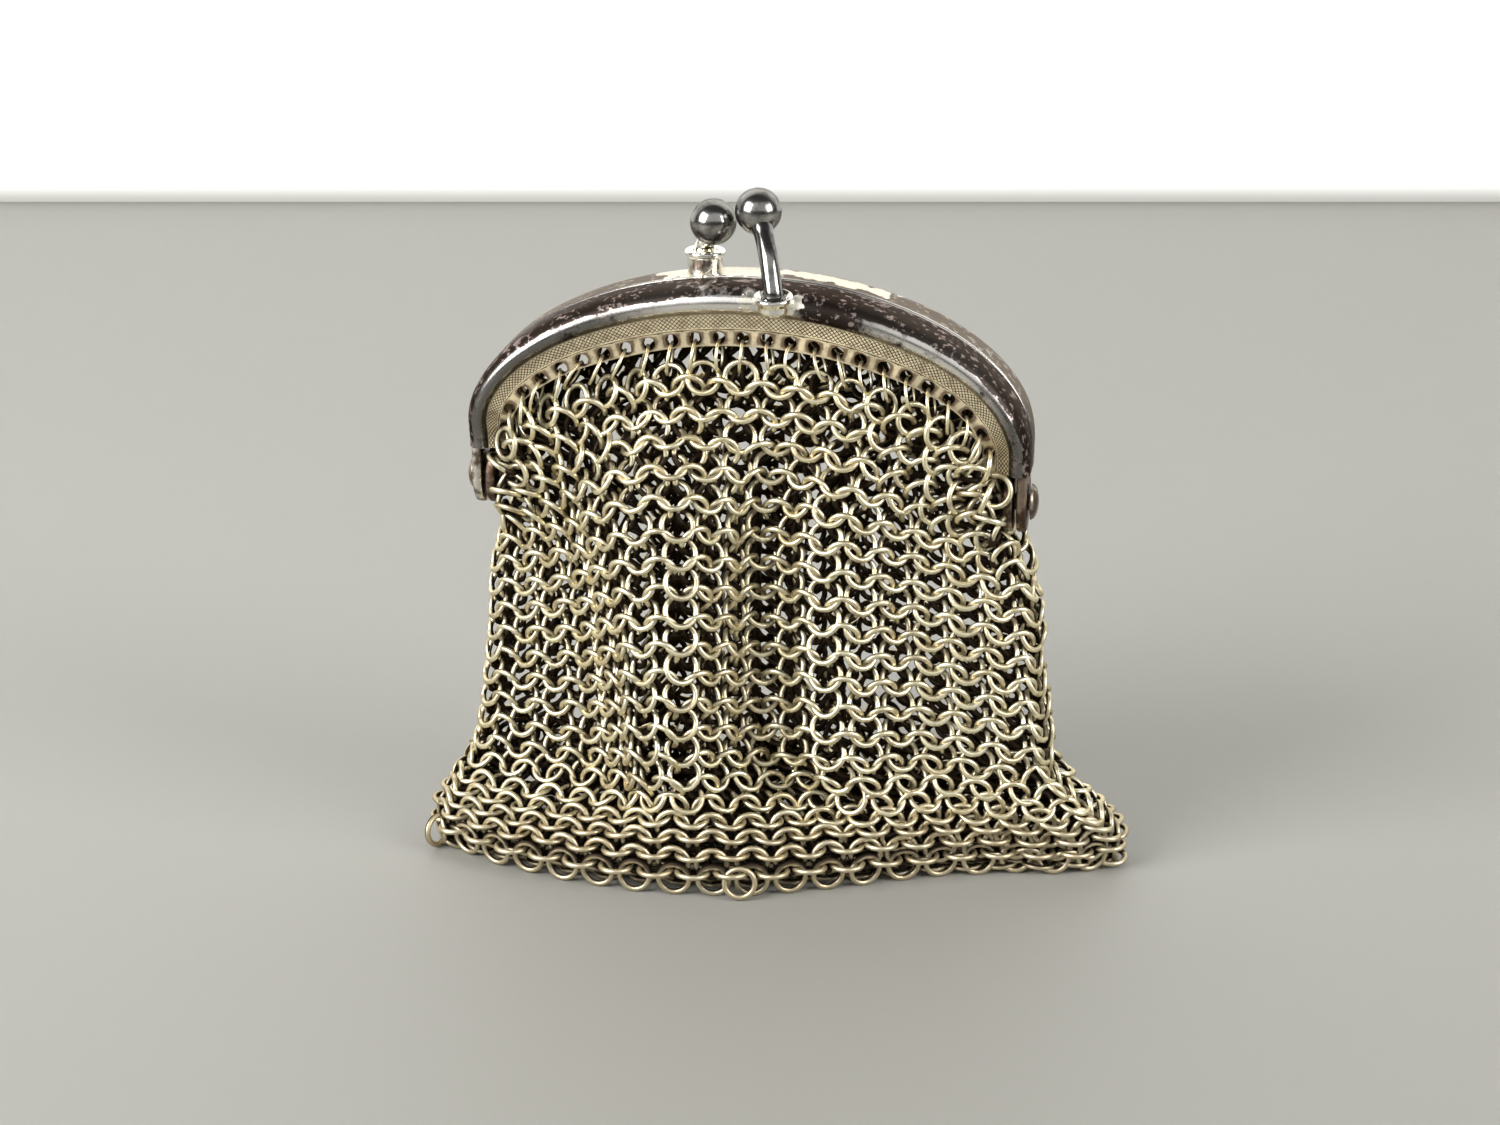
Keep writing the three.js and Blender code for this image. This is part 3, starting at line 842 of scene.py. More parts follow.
@dataclass(frozen=True)
class RingNickel:
    """Satin nickel-silver wire with brown patina where the rings rub on each other, and painted shade where
    the wire faces into the purse, lies behind its ring's middle and sits at the foot.

    Attributes:
        name: The material's name.
        bright: Colour of the clean wire.
        pale: Colour of the palest rings.
        patina: Colour of the patina where rings rub.
        shade: Colour of the painted shade on the sides that face into the purse and on wire behind its ring's
            middle.
        glance: Tint of the shine at a glancing angle.
        blotches: How fine the blotches of patina are.
        cover: How much of the wire they cover.
        blotch_share: How brown they are.
        rub_and_foot_shade_share: How brown the rubbed places are, and how dark the painted shade at the foot
            is.
        painted_shade_edge: From clean wire to painted shade, by how far it faces into the purse and lies
            behind its ring's middle.
        roughness: Roughness of the clean wire.
        patina_roughness: How much rougher the patina and the painted shade are.
    """

    name: str
    bright: Colour = (0.85, 0.76, 0.51, 1)
    pale: Colour = (0.96, 0.91, 0.67, 1)
    patina: Colour = (0.20, 0.12, 0.07, 1)
    shade: Colour = (0.05, 0.037, 0.025, 1)
    glance: Colour = (0.5, 0.42, 0.32, 1)
    blotches: float = 620.0
    cover: float = 0.36
    blotch_share: float = 0.5
    rub_and_foot_shade_share: float = 0.85
    painted_shade_edge: Ease = Ease(0.42, 0.75)
    roughness: float = 0.38
    patina_roughness: float = 0.22

    def material(self) -> Material:
        """The finish as a material.

        Returns:
            The material.
        """
        material, bench, principled = new_material(self.name)
        tarnish = Effects.place(bench, "tarnish", {"Blotches": self.blotches, "Cover": self.cover})
        wire = bench.blend(bench.value_at("tint"), self.bright, self.pale)
        # The rubbed patina together with the painted shade at the foot, which share one value.
        rubbed = bench.math("MULTIPLY", bench.value_at("rub_and_foot_shade"), self.rub_and_foot_shade_share)
        brown = bench.most([bench.math("MULTIPLY", tarnish.outputs["Stain"], self.blotch_share), rubbed])
        # Painted shade: wire that faces into the purse, and wire behind its ring's middle, darkens towards
        # the shade colour.
        dark = bench.step(bench.value_at("inward"), self.painted_shade_edge)
        finish = {
            "Base Color": bench.blend(dark, bench.blend(brown, wire, self.patina), self.shade),
            "Roughness": bench.math(
                "MULTIPLY_ADD", bench.most([brown, dark]), self.patina_roughness, self.roughness
            ),
            "Specular Tint": self.glance,
        }
        bench.fill(principled, finish)
        return material


@dataclass(frozen=True)
class SectionPoint:
    """A corner of the frame's section: how far in from the arch and how far from the seam."""

    name: str
    drop: float
    depth: float


OUTER_SECTION = (
    SectionPoint("seam lip", 0.30, 0.15),
    SectionPoint("seam edge", 0.10, 0.22),
    SectionPoint("crown start", 0.02, 0.50),
    SectionPoint("crown", 0.00, 1.60),
    SectionPoint("crown edge", 0.06, 3.80),
    SectionPoint("shoulder upper", 0.50, 4.95),
    SectionPoint("shoulder middle", 1.30, 5.50),
    SectionPoint("shoulder lower", 2.15, 5.42),
    SectionPoint("flange root", 2.80, 4.65),
)
FLANGE_FRONT = (SectionPoint("root", 2.80, 4.65), SectionPoint("foot", 6.35, 4.30))
FLANGE_INSIDE = (SectionPoint("foot", 6.35, 3.50), SectionPoint("root", 2.80, 3.85))
INNER_SECTION = (SectionPoint("shoulder inside", 1.3, 4.1), SectionPoint("seam inside", 0.9, 0.15))


@dataclass(frozen=True)
class Arch:
    """The outside line of the frame: a half ellipse on two short legs, read by its share of the length.

    Attributes:
        half_width: Half the width over the legs.
        spring_height: Where the legs meet the ellipse.
        rise: The height of the ellipse.
        leg_length: The length of a leg.
        seam_gap: How far a frame half stays from the seam.
        flange_loss: How much of its width the flange loses towards the feet.
        flange_fade: Where along the arch it loses it.
        depth_loss: How much of its depth the section loses towards the feet.
        depth_fade: Where along the arch it loses it.
        bow_points: How many points the ellipse is read at.
        leg_points: How many points a leg is read at.
    """

    half_width: float = 29.6
    spring_height: float = 47.5
    rise: float = 16.8
    leg_length: float = 2.3
    seam_gap: float = 0.15
    flange_loss: float = 0.23
    flange_fade: Ease = Ease(0.3, 0.93)
    depth_loss: float = 0.38
    depth_fade: Ease = Ease(0.82, 1.0)
    bow_points: int = 1600
    leg_points: int = 40

    def line(self) -> tuple[Array, Array]:
        """The arch as close points.

        Returns:
            The points in X and Z, and the length up to each of them.
        """
        turn = np.linspace(math.pi, 0, self.bow_points)
        bow = np.stack([self.half_width * np.cos(turn), self.spring_height + self.rise * np.sin(turn)], -1)
        height = np.linspace(self.spring_height - self.leg_length, self.spring_height, self.leg_points)
        left = np.column_stack([np.full(self.leg_points, -self.half_width), height])
        right = (left * [-1, 1])[::-1]
        points = np.concatenate([left[:-1], bow, right[1:]])
        return points, run_length(points)

    def length(self) -> float:
        """The length of the whole line."""
        return float(self.line()[1][-1])

    def inside(self, share: Array, drop: Array) -> Array:
        """Points inside the arch.

        Args:
            share: Where along the line, from -1 at the left foot to 1 at the right one.
            drop: How far inside the line.

        Returns:
            X and Z of each point.
        """
        points, lengths = self.line()
        at = (np.asarray(share, float) + 1) / 2 * lengths[-1]
        tangent = unit(np.gradient(points, lengths, axis=0))
        place = np.stack([np.interp(at, lengths, points[:, i]) for i in (0, 1)], -1)
        way = unit(np.stack([np.interp(at, lengths, tangent[:, i]) for i in (0, 1)], -1))
        inward = np.stack([way[..., 1], -way[..., 0]], -1)
        return place + inward * np.asarray(drop, float)[..., None]

    def flange_share(self, share: Array) -> Array:
        """How much of its full width the flange has."""
        return 1 - self.flange_loss * self.flange_fade.at(np.abs(share))

    def depth_share(self, share: Array) -> Array:
        """How much of its full depth the section has."""
        return 1 - self.depth_loss * self.depth_fade.at(np.abs(share))

    def surface(self, side: Side, share: Array, drop: Array, depth: Array) -> Array:
        """Points of a frame half.

        Args:
            side: The half.
            share: Where along the arch.
            drop: How far in from the arch, before the flange is shortened.
            depth: How far from the seam, before the section is flattened.

        Returns:
            The points in X, Y and Z.
        """
        share = np.asarray(share, float)
        flat = self.inside(share, drop * self.flange_share(share))
        y = side.value * (self.seam_gap + (depth - self.seam_gap) * self.depth_share(share))
        return np.stack([flat[..., 0], y, flat[..., 1]], -1)


@dataclass(frozen=True)
class HoleRow:
    """The row of holes along a flange, from which the mail hangs.

    Attributes:
        arch: The frame's arch.
        count: How many holes there are.
        radius: Their radius.
        drop: How far inside the arch they are, before the flange is shortened.
        depth: How far from the seam they are.
        end: The share of the arch at which the last one is.
        line_points: How many points their line is read at.
    """

    arch: Arch
    count: int = 25
    radius: float = 0.68
    drop: float = 5.4
    depth: float = 4.0
    end: float = 0.93
    line_points: int = 1500

    def shares(self) -> Array:
        """Where along the arch the holes are, evenly spaced along their own line.

        Returns:
            The shares of the arch, from the left foot to the right one.
        """
        share = np.linspace(-self.end, self.end, self.line_points)
        length = run_length(self.arch.inside(share, self.drop * self.arch.flange_share(share)))
        return np.interp(np.linspace(0, length[-1], self.count), length, share)

    def places(self, side: Side) -> Array:
        """The middles of the holes in a half's flange."""
        share = self.shares()
        return self.arch.surface(side, share, np.full(self.count, self.drop), np.full(self.count, self.depth))


@dataclass(frozen=True)
class FrameHalf:
    """One half of the frame: the swept section with its pierced flange, and the two hinge lugs.

    Attributes:
        side: The half.
        arch: The frame's arch.
        holes: The holes in the flange.
        cell_steps: How many steps along the arch the patch round a hole has.
        cell_levels: How many steps across the section it has.
        cell_top: How far inside the arch it starts.
        cell_foot: How far inside the arch it ends.
        end_steps: How many steps there are from the last patch to the foot.
        shoulder_points: How many points the section has from the seam to the flange.
        flange_drops: How far inside the arch its points are between the flange's root and the patches.
        edge_drop: How far above the flange's foot the first corner of its rounded edge is.
        edge_depth: How far inside the flange's face this corner is.
        edge_radius: How far inside the face the second corner is, which is at the foot.
        hole_growth: How much wider the holes are than the flange's shortening makes them.
        share_step: A small share of the arch, to measure how long a share is.
        pivot_height: The height of the hinge's axis.
        lug_radius: The radius of a lug's round plate.
        lug_thickness: The thickness of a lug.
        outer_lug_face: How far from the middle the front half's lugs reach.
        inner_lug_face: How far from the middle the back half's lugs reach.
        lug_neck_top: The height at which a lug's neck ends.
        lug_neck_foot: The height down to which its inner side runs straight.
        lug_neck_inside: How far from the seam its inner side is.
        lug_edge: How much its edges are rounded.
        lug_edge_share: The share of this at which the middle corner of the rounding lies.
        lug_points: How many points its round edge has.
        neck_points: How many points the neck's outer side has, down to the round edge.
        bridge_inset: How far from the outside of the leg the back half's bridge ends.
        bridge_middle: The Y and Z of the bridge's middle.
        bridge_size: Its depth and height.
    """

    side: Side
    arch: Arch
    holes: HoleRow
    cell_steps: int = 6
    cell_levels: int = 4
    cell_top: float = 4.45
    cell_foot: float = 6.27
    end_steps: int = 5
    shoulder_points: int = 33
    flange_drops: tuple[float, ...] = (2.98, 3.4, 3.9)
    edge_drop: float = 0.03
    edge_depth: float = 0.06
    edge_radius: float = 0.2
    hole_growth: float = 0.08
    share_step: float = 0.01
    pivot_height: float = 41.6
    lug_radius: float = 3.2
    lug_thickness: float = 1.0
    outer_lug_face: float = 29.3
    inner_lug_face: float = 27.9
    lug_neck_top: float = 46.6
    lug_neck_foot: float = 44.8
    lug_neck_inside: float = 0.35
    lug_edge: float = 0.22
    lug_edge_share: float = 0.3
    lug_points: int = 40
    neck_points: int = 7
    bridge_inset: float = 0.4
    bridge_middle: tuple[float, float] = (1.65, 46.0)
    bridge_size: tuple[float, float] = (2.4, 1.5)

    @staticmethod
    def face_depth(face: tuple[SectionPoint, SectionPoint], drop: Array) -> Array:
        """How far from the seam one face of the flange is at a drop from the arch."""
        near, far = face
        return near.depth + (drop - near.drop) / (far.drop - near.drop) * (far.depth - near.depth)

    def section(self) -> tuple[Array, Array, int, int]:
        """The closed section of the sweep.

        Returns:
            Drop and depth of each corner, the length across to it from the seam, and the numbers of the
            corners where the hole cells start outside and inside.
        """
        keys = list(range(len(OUTER_SECTION)))
        fine = np.linspace(0, keys[-1], self.shoulder_points)
        drop = read_table(keys, [point.drop for point in OUTER_SECTION], fine)
        depth = read_table(keys, [point.depth for point in OUTER_SECTION], fine)
        rows = list(zip(drop, depth))
        levels = np.linspace(self.cell_top, self.cell_foot, self.cell_levels + 1)
        rows += [(d, self.face_depth(FLANGE_FRONT, d)) for d in self.flange_drops]
        first = len(rows)
        rows += [(d, self.face_depth(FLANGE_FRONT, d)) for d in levels]
        front_foot, back_foot = FLANGE_FRONT[1], FLANGE_INSIDE[0]
        rounding = [(-self.edge_drop, self.edge_depth), (0, self.edge_radius)]
        rows += [(front_foot.drop + down, front_foot.depth - deep) for down, deep in rounding]
        rows += [(front_foot.drop + down, back_foot.depth + deep) for down, deep in rounding[::-1]]
        second = len(rows)
        rows += [(d, self.face_depth(FLANGE_INSIDE, d)) for d in levels[::-1]]
        rows += [(point.drop, point.depth) for point in (FLANGE_INSIDE[1], *INNER_SECTION)]
        corners = np.array(rows)
        return corners, run_length(corners), first, second

    def stations(self) -> tuple[Array, Array]:
        """Where along the arch the sweep has its rows.

        Returns:
            The shares, and the number of the row at which each hole's cell starts.
        """
        holes = self.holes.shares()
        middles = (holes[1:] + holes[:-1]) / 2
        edges = np.concatenate([[2 * holes[0] - middles[0]], middles, [2 * holes[-1] - middles[-1]]])
        parts = [np.linspace(-1, edges[0], self.end_steps + 1)[:-1]]
        for low, high in zip(edges[:-1], edges[1:]):
            parts.append(np.linspace(low, high, self.cell_steps + 1)[:-1])
        parts.append(np.linspace(edges[-1], 1, self.end_steps + 1))
        return np.concatenate(parts), self.end_steps + self.cell_steps * np.arange(self.holes.count)

    def sweep(self) -> Shell:
        """The swept section with its holes.

        Returns:
            The shell, with the length along and across at each point.
        """
        corners, across, first, second = self.section()
        shares, starts = self.stations()
        rows, sides = len(shares), len(corners)
        grid = np.repeat(shares[:, None], sides, 1)
        points = self.arch.surface(self.side, grid, corners[None, :, 0], corners[None, :, 1]).reshape(-1, 3)
        along = (grid * self.arch.length() / 2).ravel()
        crossing = np.repeat(across[None, :], rows, 0).ravel()
        number = np.arange(rows * sides).reshape(rows, sides)
        solid = np.ones((rows - 1, sides), bool)
        for start in starts:
            for level in (first, second):
                solid[start : start + self.cell_steps, level : level + self.cell_levels] = False
        walls, caps = capped_tube(rows, sides)
        faces = walls.reshape(rows - 1, sides, 4)[solid]
        rims = [self._hole_rim(number, start, first, second) for start in starts]
        extra_points, extra_along, extra_across, extra_faces = [], [], [], []
        next_point = len(points)
        for rim, share in zip(rims, self.holes.shares()):
            circles = []
            for loop, level in zip(rim, (FLANGE_FRONT, FLANGE_INSIDE)):
                ring, drops = self._hole_circle(loop, share, grid.ravel(), corners, number, level)
                circle = next_point + np.arange(len(loop))
                next_point += len(loop)
                extra_points.append(ring)
                extra_along.append(along[loop] * 0.5 + share * self.arch.length() / 4)
                extra_across.append(np.full(len(loop), across[first] + (drops - self.cell_top).mean()))
                extra_faces.append(np.stack([loop, np.roll(loop, -1), np.roll(circle, -1), circle], -1))
                circles.append(circle)
            outer, inner = circles
            extra_faces.append(np.stack([outer, np.roll(outer, -1), np.roll(inner, -1), inner], -1))
            extra_faces[-2] = extra_faces[-2][:, ::-1]
        every = np.concatenate([points, *extra_points])
        quads = np.concatenate([faces, *extra_faces])
        if self.side is Side.BACK:
            quads, caps = quads[:, ::-1], caps[:, ::-1]
        values = {
            "along": np.concatenate([along, *extra_along]),
            "across": np.concatenate([crossing, *extra_across]),
            "halo": np.concatenate([np.zeros(len(points)), np.ones(len(every) - len(points))]),
        }
        return Shell(every, [quads, caps], values)

    def _hole_rim(self, number: Array, start: int, first: int, second: int) -> tuple[Array, Array]:
        """The sweep's points round a hole's cell.

        Args:
            number: The sweep's point numbers by row and corner.
            start: The row at which the cell starts.
            first: The corner at which the cell starts outside.
            second: The corner at which it starts inside.

        Returns:
            The loop of points outside and the one inside, in step with each other.
        """
        end, deep = start + self.cell_steps, self.cell_levels
        loops = []
        for level, way in ((first, 1), (second + deep, -1)):
            top = [number[r, level] for r in range(start, end)]
            right = [number[end, level + way * k] for k in range(deep)]
            foot = [number[r, level + way * deep] for r in range(end, start, -1)]
            left = [number[start, level + way * k] for k in range(deep, 0, -1)]
            loops.append(np.array(top + right + foot + left))
        return loops[0], loops[1]

    def _hole_circle(
        self, loop: Array, share: float, shares: Array, corners: Array, number: Array, face: tuple
    ) -> tuple[Array, Array]:
        """The edge of a hole on one face of the flange.

        Args:
            loop: The points round the hole's cell.
            share: Where along the arch the hole is.
            shares: Where along the arch each point of the sweep is.
            corners: The section's corners.
            number: The sweep's point numbers by row and corner.
            face: The two section points that the flange's face runs between.

        Returns:
            The points of the edge, and how far down the flange each of them is.
        """
        sides = number.shape[1]
        shortened = float(self.arch.flange_share(np.array(share)))
        beside = np.array([share - self.share_step, share + self.share_step])
        ends = self.arch.inside(beside, np.full(2, self.holes.drop * shortened))
        per_share = np.linalg.norm(ends[1] - ends[0]) / (2 * self.share_step)
        aside = (shares[loop] - share) * per_share
        down = (corners[loop % sides, 0] - self.holes.drop) * shortened
        turn = np.arctan2(down, aside)
        radius = self.holes.radius * min(1.0, shortened + self.hole_growth)
        drops = self.holes.drop + radius * np.sin(turn) / shortened
        depth = self.face_depth(face, drops)
        return self.arch.surface(self.side, share + radius * np.cos(turn) / per_share, drops, depth), drops

    def lug(self, start: float) -> Shell:
        """A hinge lug: a round plate on a neck, with rounded edges.

        Args:
            start: The lowest X of the plate.

        Returns:
            The shell.
        """
        side, centre = self.side.value, self.pivot_height
        front_arc, back_arc = (math.pi, 7 * math.pi / 3), (0, -4 * math.pi / 3)
        turn = np.linspace(*(front_arc if self.side is Side.FRONT else back_arc), self.lug_points)
        arc = np.stack([self.lug_radius * np.cos(turn), centre + self.lug_radius * np.sin(turn)], -1)
        outside = side * self.lug_radius
        inside = side * self.lug_neck_inside
        neck_out = [(outside, z) for z in np.linspace(self.lug_neck_top, centre, self.neck_points)[:-1]]
        neck_in = [(inside, self.lug_neck_foot), (inside, self.lug_neck_top)]
        outline = np.concatenate([neck_out, arc, neck_in])
        ahead, behind = np.roll(outline, -1, 0), np.roll(outline, 1, 0)
        tangent = unit(ahead - behind)
        inward = np.stack([-tangent[:, 1], tangent[:, 0]], -1) * -side
        edge, inner = self.lug_edge, self.lug_edge_share * self.lug_edge
        levels = [(edge, 0), (inner, inner), (0, edge)]
        levels += [(inset, self.lug_thickness - lift) for inset, lift in reversed(levels)]
        layers = []
        for inset, lift in levels:
            flat = outline + inward * inset
            layers.append(np.stack([np.full(len(flat), start + lift), flat[:, 0], flat[:, 1]], -1))
        faces = capped_tube(len(levels), len(outline))
        if self.side is Side.BACK:
            faces = [face[:, ::-1] for face in faces]
        return Shell(np.concatenate(layers), faces)

    def end_lug(self, end: int) -> Shell:
        """The lug at one end of this half, with the back half's short bridge out to its leg.

        Args:
            end: -1 for the left end and 1 for the right end.

        Returns:
            The shell.
        """
        face = self.outer_lug_face if self.side is Side.FRONT else self.inner_lug_face
        shell = self.lug(face - self.lug_thickness if end > 0 else -face)
        if self.side is Side.BACK:
            low, high = self.inner_lug_face - self.lug_thickness / 2, self.arch.half_width - self.bridge_inset
            middle = np.array([end * (low + high) / 2, *self.bridge_middle])
            shell = shell.joined(block(middle, np.array([high - low, *self.bridge_size])))
        return shell

    def build(self, finish: Material, lug_finishes: tuple[Material, Material], node: str) -> None:
        """Makes and dresses the half.

        Args:
            finish: The frame's finish.
            lug_finishes: The left and the right lug's finish.
            node: The node that the half replaces.
        """
        Stock.add(node + "_shell", self.sweep(), finish, Slot.FRAME, node, crease=35)
        for name, end, lug_finish in zip(("_left_lug", "_right_lug"), (-1, 1), lug_finishes):
            Stock.add(node + name, self.end_lug(end), lug_finish, Slot.FRAME, node, crease=50)


def block(middle: Array, size: Array) -> Shell:
    """A plain box.

    Args:
        middle: Its middle.
        size: Its three sides.

    Returns:
        The shell.
    """
    signs = np.array([(x, y, z) for x in (-1, 1) for y in (-1, 1) for z in (-1, 1)])
    faces = np.array([(0, 1, 3, 2), (4, 6, 7, 5), (0, 4, 5, 1), (2, 3, 7, 6), (0, 2, 6, 4), (1, 5, 7, 3)])
    return Shell(middle + signs * size / 2, [faces])


def lathe(profile: Array, sides: int, seat: Array, lean: float) -> Shell:
    """A turned piece.

    Args:
        profile: Radius and height of each row, from the foot up.
        sides: How many sides it has.
        seat: Where its axis starts.
        lean: How far its axis leans forwards, in radians.

    Returns:
        The shell.
    """
    turn = full_turn(sides)
    radius, height = profile[:, 0, None], profile[:, 1, None]
    local = np.stack([radius * np.cos(turn), radius * np.sin(turn), np.repeat(height, sides, 1)], -1)
    local = local.reshape(-1, 3)
    up = np.array([0, -math.sin(lean), math.cos(lean)])
    back = np.array([0, math.cos(lean), math.sin(lean)])
    points = seat + local[:, :1] * [1, 0, 0] + local[:, 1:2] * back + local[:, 2:] * up
    return Shell(points, capped_tube(len(profile), sides))


def rounded(
    corners: list[tuple[float, float]], radius: float, steps: int = 3, side_share: float = 0.45
) -> Array:
    """An open outline with its inner corners rounded.

    Args:
        corners: The outline's corners.
        radius: How far from a corner its rounding starts, at most.
        steps: How many points a rounding has, less one.
        side_share: How much of a side a rounding may take up.

    Returns:
        The points of the rounded outline.
    """
    line = np.array(corners, float)
    out = [line[0]]
    for before, here, after in zip(line[:-2], line[1:-1], line[2:]):
        shortest = min(np.linalg.norm(before - here), np.linalg.norm(after - here))
        reach = min(radius, side_share * shortest)
        start = here + unit(before - here) * reach
        end = here + unit(after - here) * reach
        for t in np.linspace(0, 1, steps + 1):
            out.append((1 - t) ** 2 * start + 2 * t * (1 - t) * here + t**2 * end)
    out.append(line[-1])
    return np.array(out)


def round_rod(line: Array, radius: Array, sides: int) -> Shell:
    """A round rod along a line.

    Args:
        line: The points of its middle.
        radius: Its radius at each point.
        sides: How many sides it has.

    Returns:
        The shell.
    """
    tangent = unit(np.gradient(line, axis=0))
    first = unit(np.cross(tangent, [0.0, 1.0, 0.0]))
    second = np.cross(tangent, first)
    turn = full_turn(sides)[None, :, None]
    outwards = first[:, None] * np.cos(turn) + second[:, None] * np.sin(turn)
    points = (line[:, None] + radius[:, None, None] * outwards).reshape(-1, 3)
    return Shell(points, capped_tube(len(line), sides))


def ball(centre: Array, radius: float, sides: int = 48, rows: int = 28, pole: float = 0.02) -> Shell:
    """A round ball.

    Args:
        centre: Its middle.
        radius: Its radius.
        sides: How many sides it has round its axis.
        rows: How many rows of points it has from pole to pole.
        pole: How far from the poles the first and last row are, in radians.

    Returns:
        The shell.
    """
    tilt = np.linspace(pole, math.pi - pole, rows)
    profile = np.stack([radius * np.sin(tilt), -radius * np.cos(tilt)], -1)
    return lathe(profile, sides, centre, 0.0)


@dataclass(frozen=True)
class ClaspHalf:
    """A collar on the frame with a ball on a bent stem in it.

    Attributes:
        name: The half's name.
        seat: Where the collar's axis starts.
        lean: How far the axis leans forwards, in radians.
        collar: Radius and height of each corner of the collar, from its foot to its socket.
        floor: The height of the socket's floor.
        mouth: The height up to which the stem runs straight.
        bow: How far the stem bows to the right and forwards on its way to the ball.
        flare: How far up the stem its thicker foot reaches.
        ball_centre: The middle of the ball.
        ball_radius: The radius of the ball.
        stem_radius: The radius of the stem.
        foot_radius: The radius of its thicker foot.
        flare_start: The share of the flare's reach at which the foot starts to thin.
        ball_swell: How much thicker the stem is where it meets the ball.
        swell_reach: How far from the ball it is thicker.
        stem_lift: How far over the socket's floor it starts.
        stem_points: How many points its line has.
        stem_sides: How many sides it has.
        socket_radius: The radius of the socket.
        axis_radius: The radius at which the collar's faces stop short of its axis.
        corner_radius: How far from its corners the collar's roundings start, at most.
        collar_sides: How many sides the collar has.
        smooth_crease: The angle in degrees above which an edge of the stem or ball stays sharp.
    """

    name: str
    seat: tuple[float, float, float]
    lean: float
    collar: tuple[tuple[float, float], ...]
    floor: float
    mouth: float
    bow: tuple[float, float]
    flare: float
    ball_centre: tuple[float, float, float]
    ball_radius: float = 2.4
    stem_radius: float = 0.98
    foot_radius: float = 1.24
    flare_start: float = 0.45
    ball_swell: float = 0.12
    swell_reach: float = 0.3
    stem_lift: float = 0.3
    stem_points: int = 40
    stem_sides: int = 32
    socket_radius: float = 1.28
    axis_radius: float = 0.02
    corner_radius: float = 0.16
    collar_sides: int = 48
    smooth_crease: float = 60.0

    def collar_shell(self) -> Shell:
        """The turned collar with its blind socket.

        Returns:
            The shell.
        """
        wall = [(self.socket_radius, self.collar[-1][1]), (self.socket_radius, self.floor)]
        corners = [*self.collar, *wall, (self.axis_radius, self.floor)]
        profile = rounded(corners, self.corner_radius)
        return lathe(profile, self.collar_sides, np.array(self.seat), self.lean)

    def stem_line(self) -> Array:
        """The middle of the stem, from its foot in the socket to the ball's middle.

        Returns:
            The points of the line.
        """
        up = np.array([0, -math.sin(self.lean), math.cos(self.lean)])
        foot = np.array(self.seat) + up * (self.floor + self.stem_lift)
        mouth = np.array(self.seat) + up * self.mouth
        centre = np.array(self.ball_centre)
        middle = (mouth + centre) / 2 + np.array([self.bow[0], -self.bow[1], 0])
        knots = np.stack([foot, (foot + mouth) / 2, mouth, middle, centre])
        reach = np.concatenate([[0], np.cumsum(np.sqrt(np.linalg.norm(np.diff(knots, axis=0), axis=1)))])
        fine = np.linspace(0, reach[-1], self.stem_points)
        return np.stack([read_table(list(reach), list(knots[:, i]), fine) for i in range(3)], -1)

    def stem_shell(self) -> Shell:
        """The stem, thicker at its soldered foot and a little where it meets the ball.

        Returns:
            The shell.
        """
        line = self.stem_line()
        gap = np.linalg.norm(line - np.array(self.ball_centre), axis=1) - self.ball_radius
        thick = Ease(self.flare, self.flare_start * self.flare).at(run_length(line))
        radius = self.stem_radius + (self.foot_radius - self.stem_radius) * thick
        swell = self.ball_swell * np.exp(-((np.maximum(gap, 0) / self.swell_reach) ** 2))
        return round_rod(line, radius * (1 + swell), self.stem_sides)

    def build(self, collar_finish: Material, stem_finish: Material, ball_finish: Material) -> None:
        """Makes and dresses the collar, the stem and the ball.

        Args:
            collar_finish: The collar's finish.
            stem_finish: The stem's finish.
            ball_finish: The ball's finish.
        """
        frame_node, clasp_node = self.name + "_frame", self.name + "_clasp"
        sphere = ball(np.array(self.ball_centre), self.ball_radius)
        Stock.add(self.name + "_collar", self.collar_shell(), collar_finish, Slot.FRAME, frame_node)
        stem = self.stem_shell()
        for name, shell, finish in (("_stem", stem, stem_finish), ("_ball", sphere, ball_finish)):
            Stock.add(self.name + name, shell, finish, Slot.CLASP, clasp_node, self.smooth_crease)


@dataclass(frozen=True)
class HingeRivet:
    """A rivet with a domed head through the lugs at one end of the frame.

    Attributes:
        name: The rivet's name.
        end: -1 at the left end and 1 at the right end.
        pivot_height: The height of its axis.
        radius: The radius of its shank.
        head_radius: The radius of its head.
        dome: The height of its dome.
        head_start: How far from the middle of the purse its head starts.
        tail_radius: The radius of its flat inner end.
        tail_start: How far from the middle that end starts.
        tail_length: The thickness of that end.
        sides: How many sides it has.
        dome_rows: How many rows of points its dome has.
        dome_end: How far from the dome's pole the last row is, in radians.
    """

    name: str
    end: int
    pivot_height: float = 41.6
    radius: float = 0.9
    head_radius: float = 1.9
    dome: float = 0.8
    head_start: float = 29.6
    tail_radius: float = 1.6
    tail_start: float = 26.0
    tail_length: float = 0.6
    sides: int = 32
    dome_rows: int = 9
    dome_end: float = 0.05

    def build(self, finish: Material) -> None:
        """Makes and dresses the rivet.

        Args:
            finish: The rivet's finish.
        """
        tilt = np.linspace(0, math.pi / 2 - self.dome_end, self.dome_rows)
        head = [(self.head_radius * math.cos(t), self.head_start + self.dome * math.sin(t)) for t in tilt]
        tail = [(self.tail_radius, self.tail_start), (self.tail_radius, self.tail_start + self.tail_length)]
        shank = [(self.radius, tail[-1][1]), (self.radius, self.head_start)]
        upright = lathe(np.array([*tail, *shank, *head]), self.sides, np.zeros(3), 0.0)
        x, y, z = upright.points.T
        turned = np.stack([z * self.end, y, self.pivot_height - x * self.end], -1)
        shell = Shell(turned, upright.faces)
        Stock.add(self.name + "_dome", shell, finish, Slot.RIVET, self.name, crease=50)


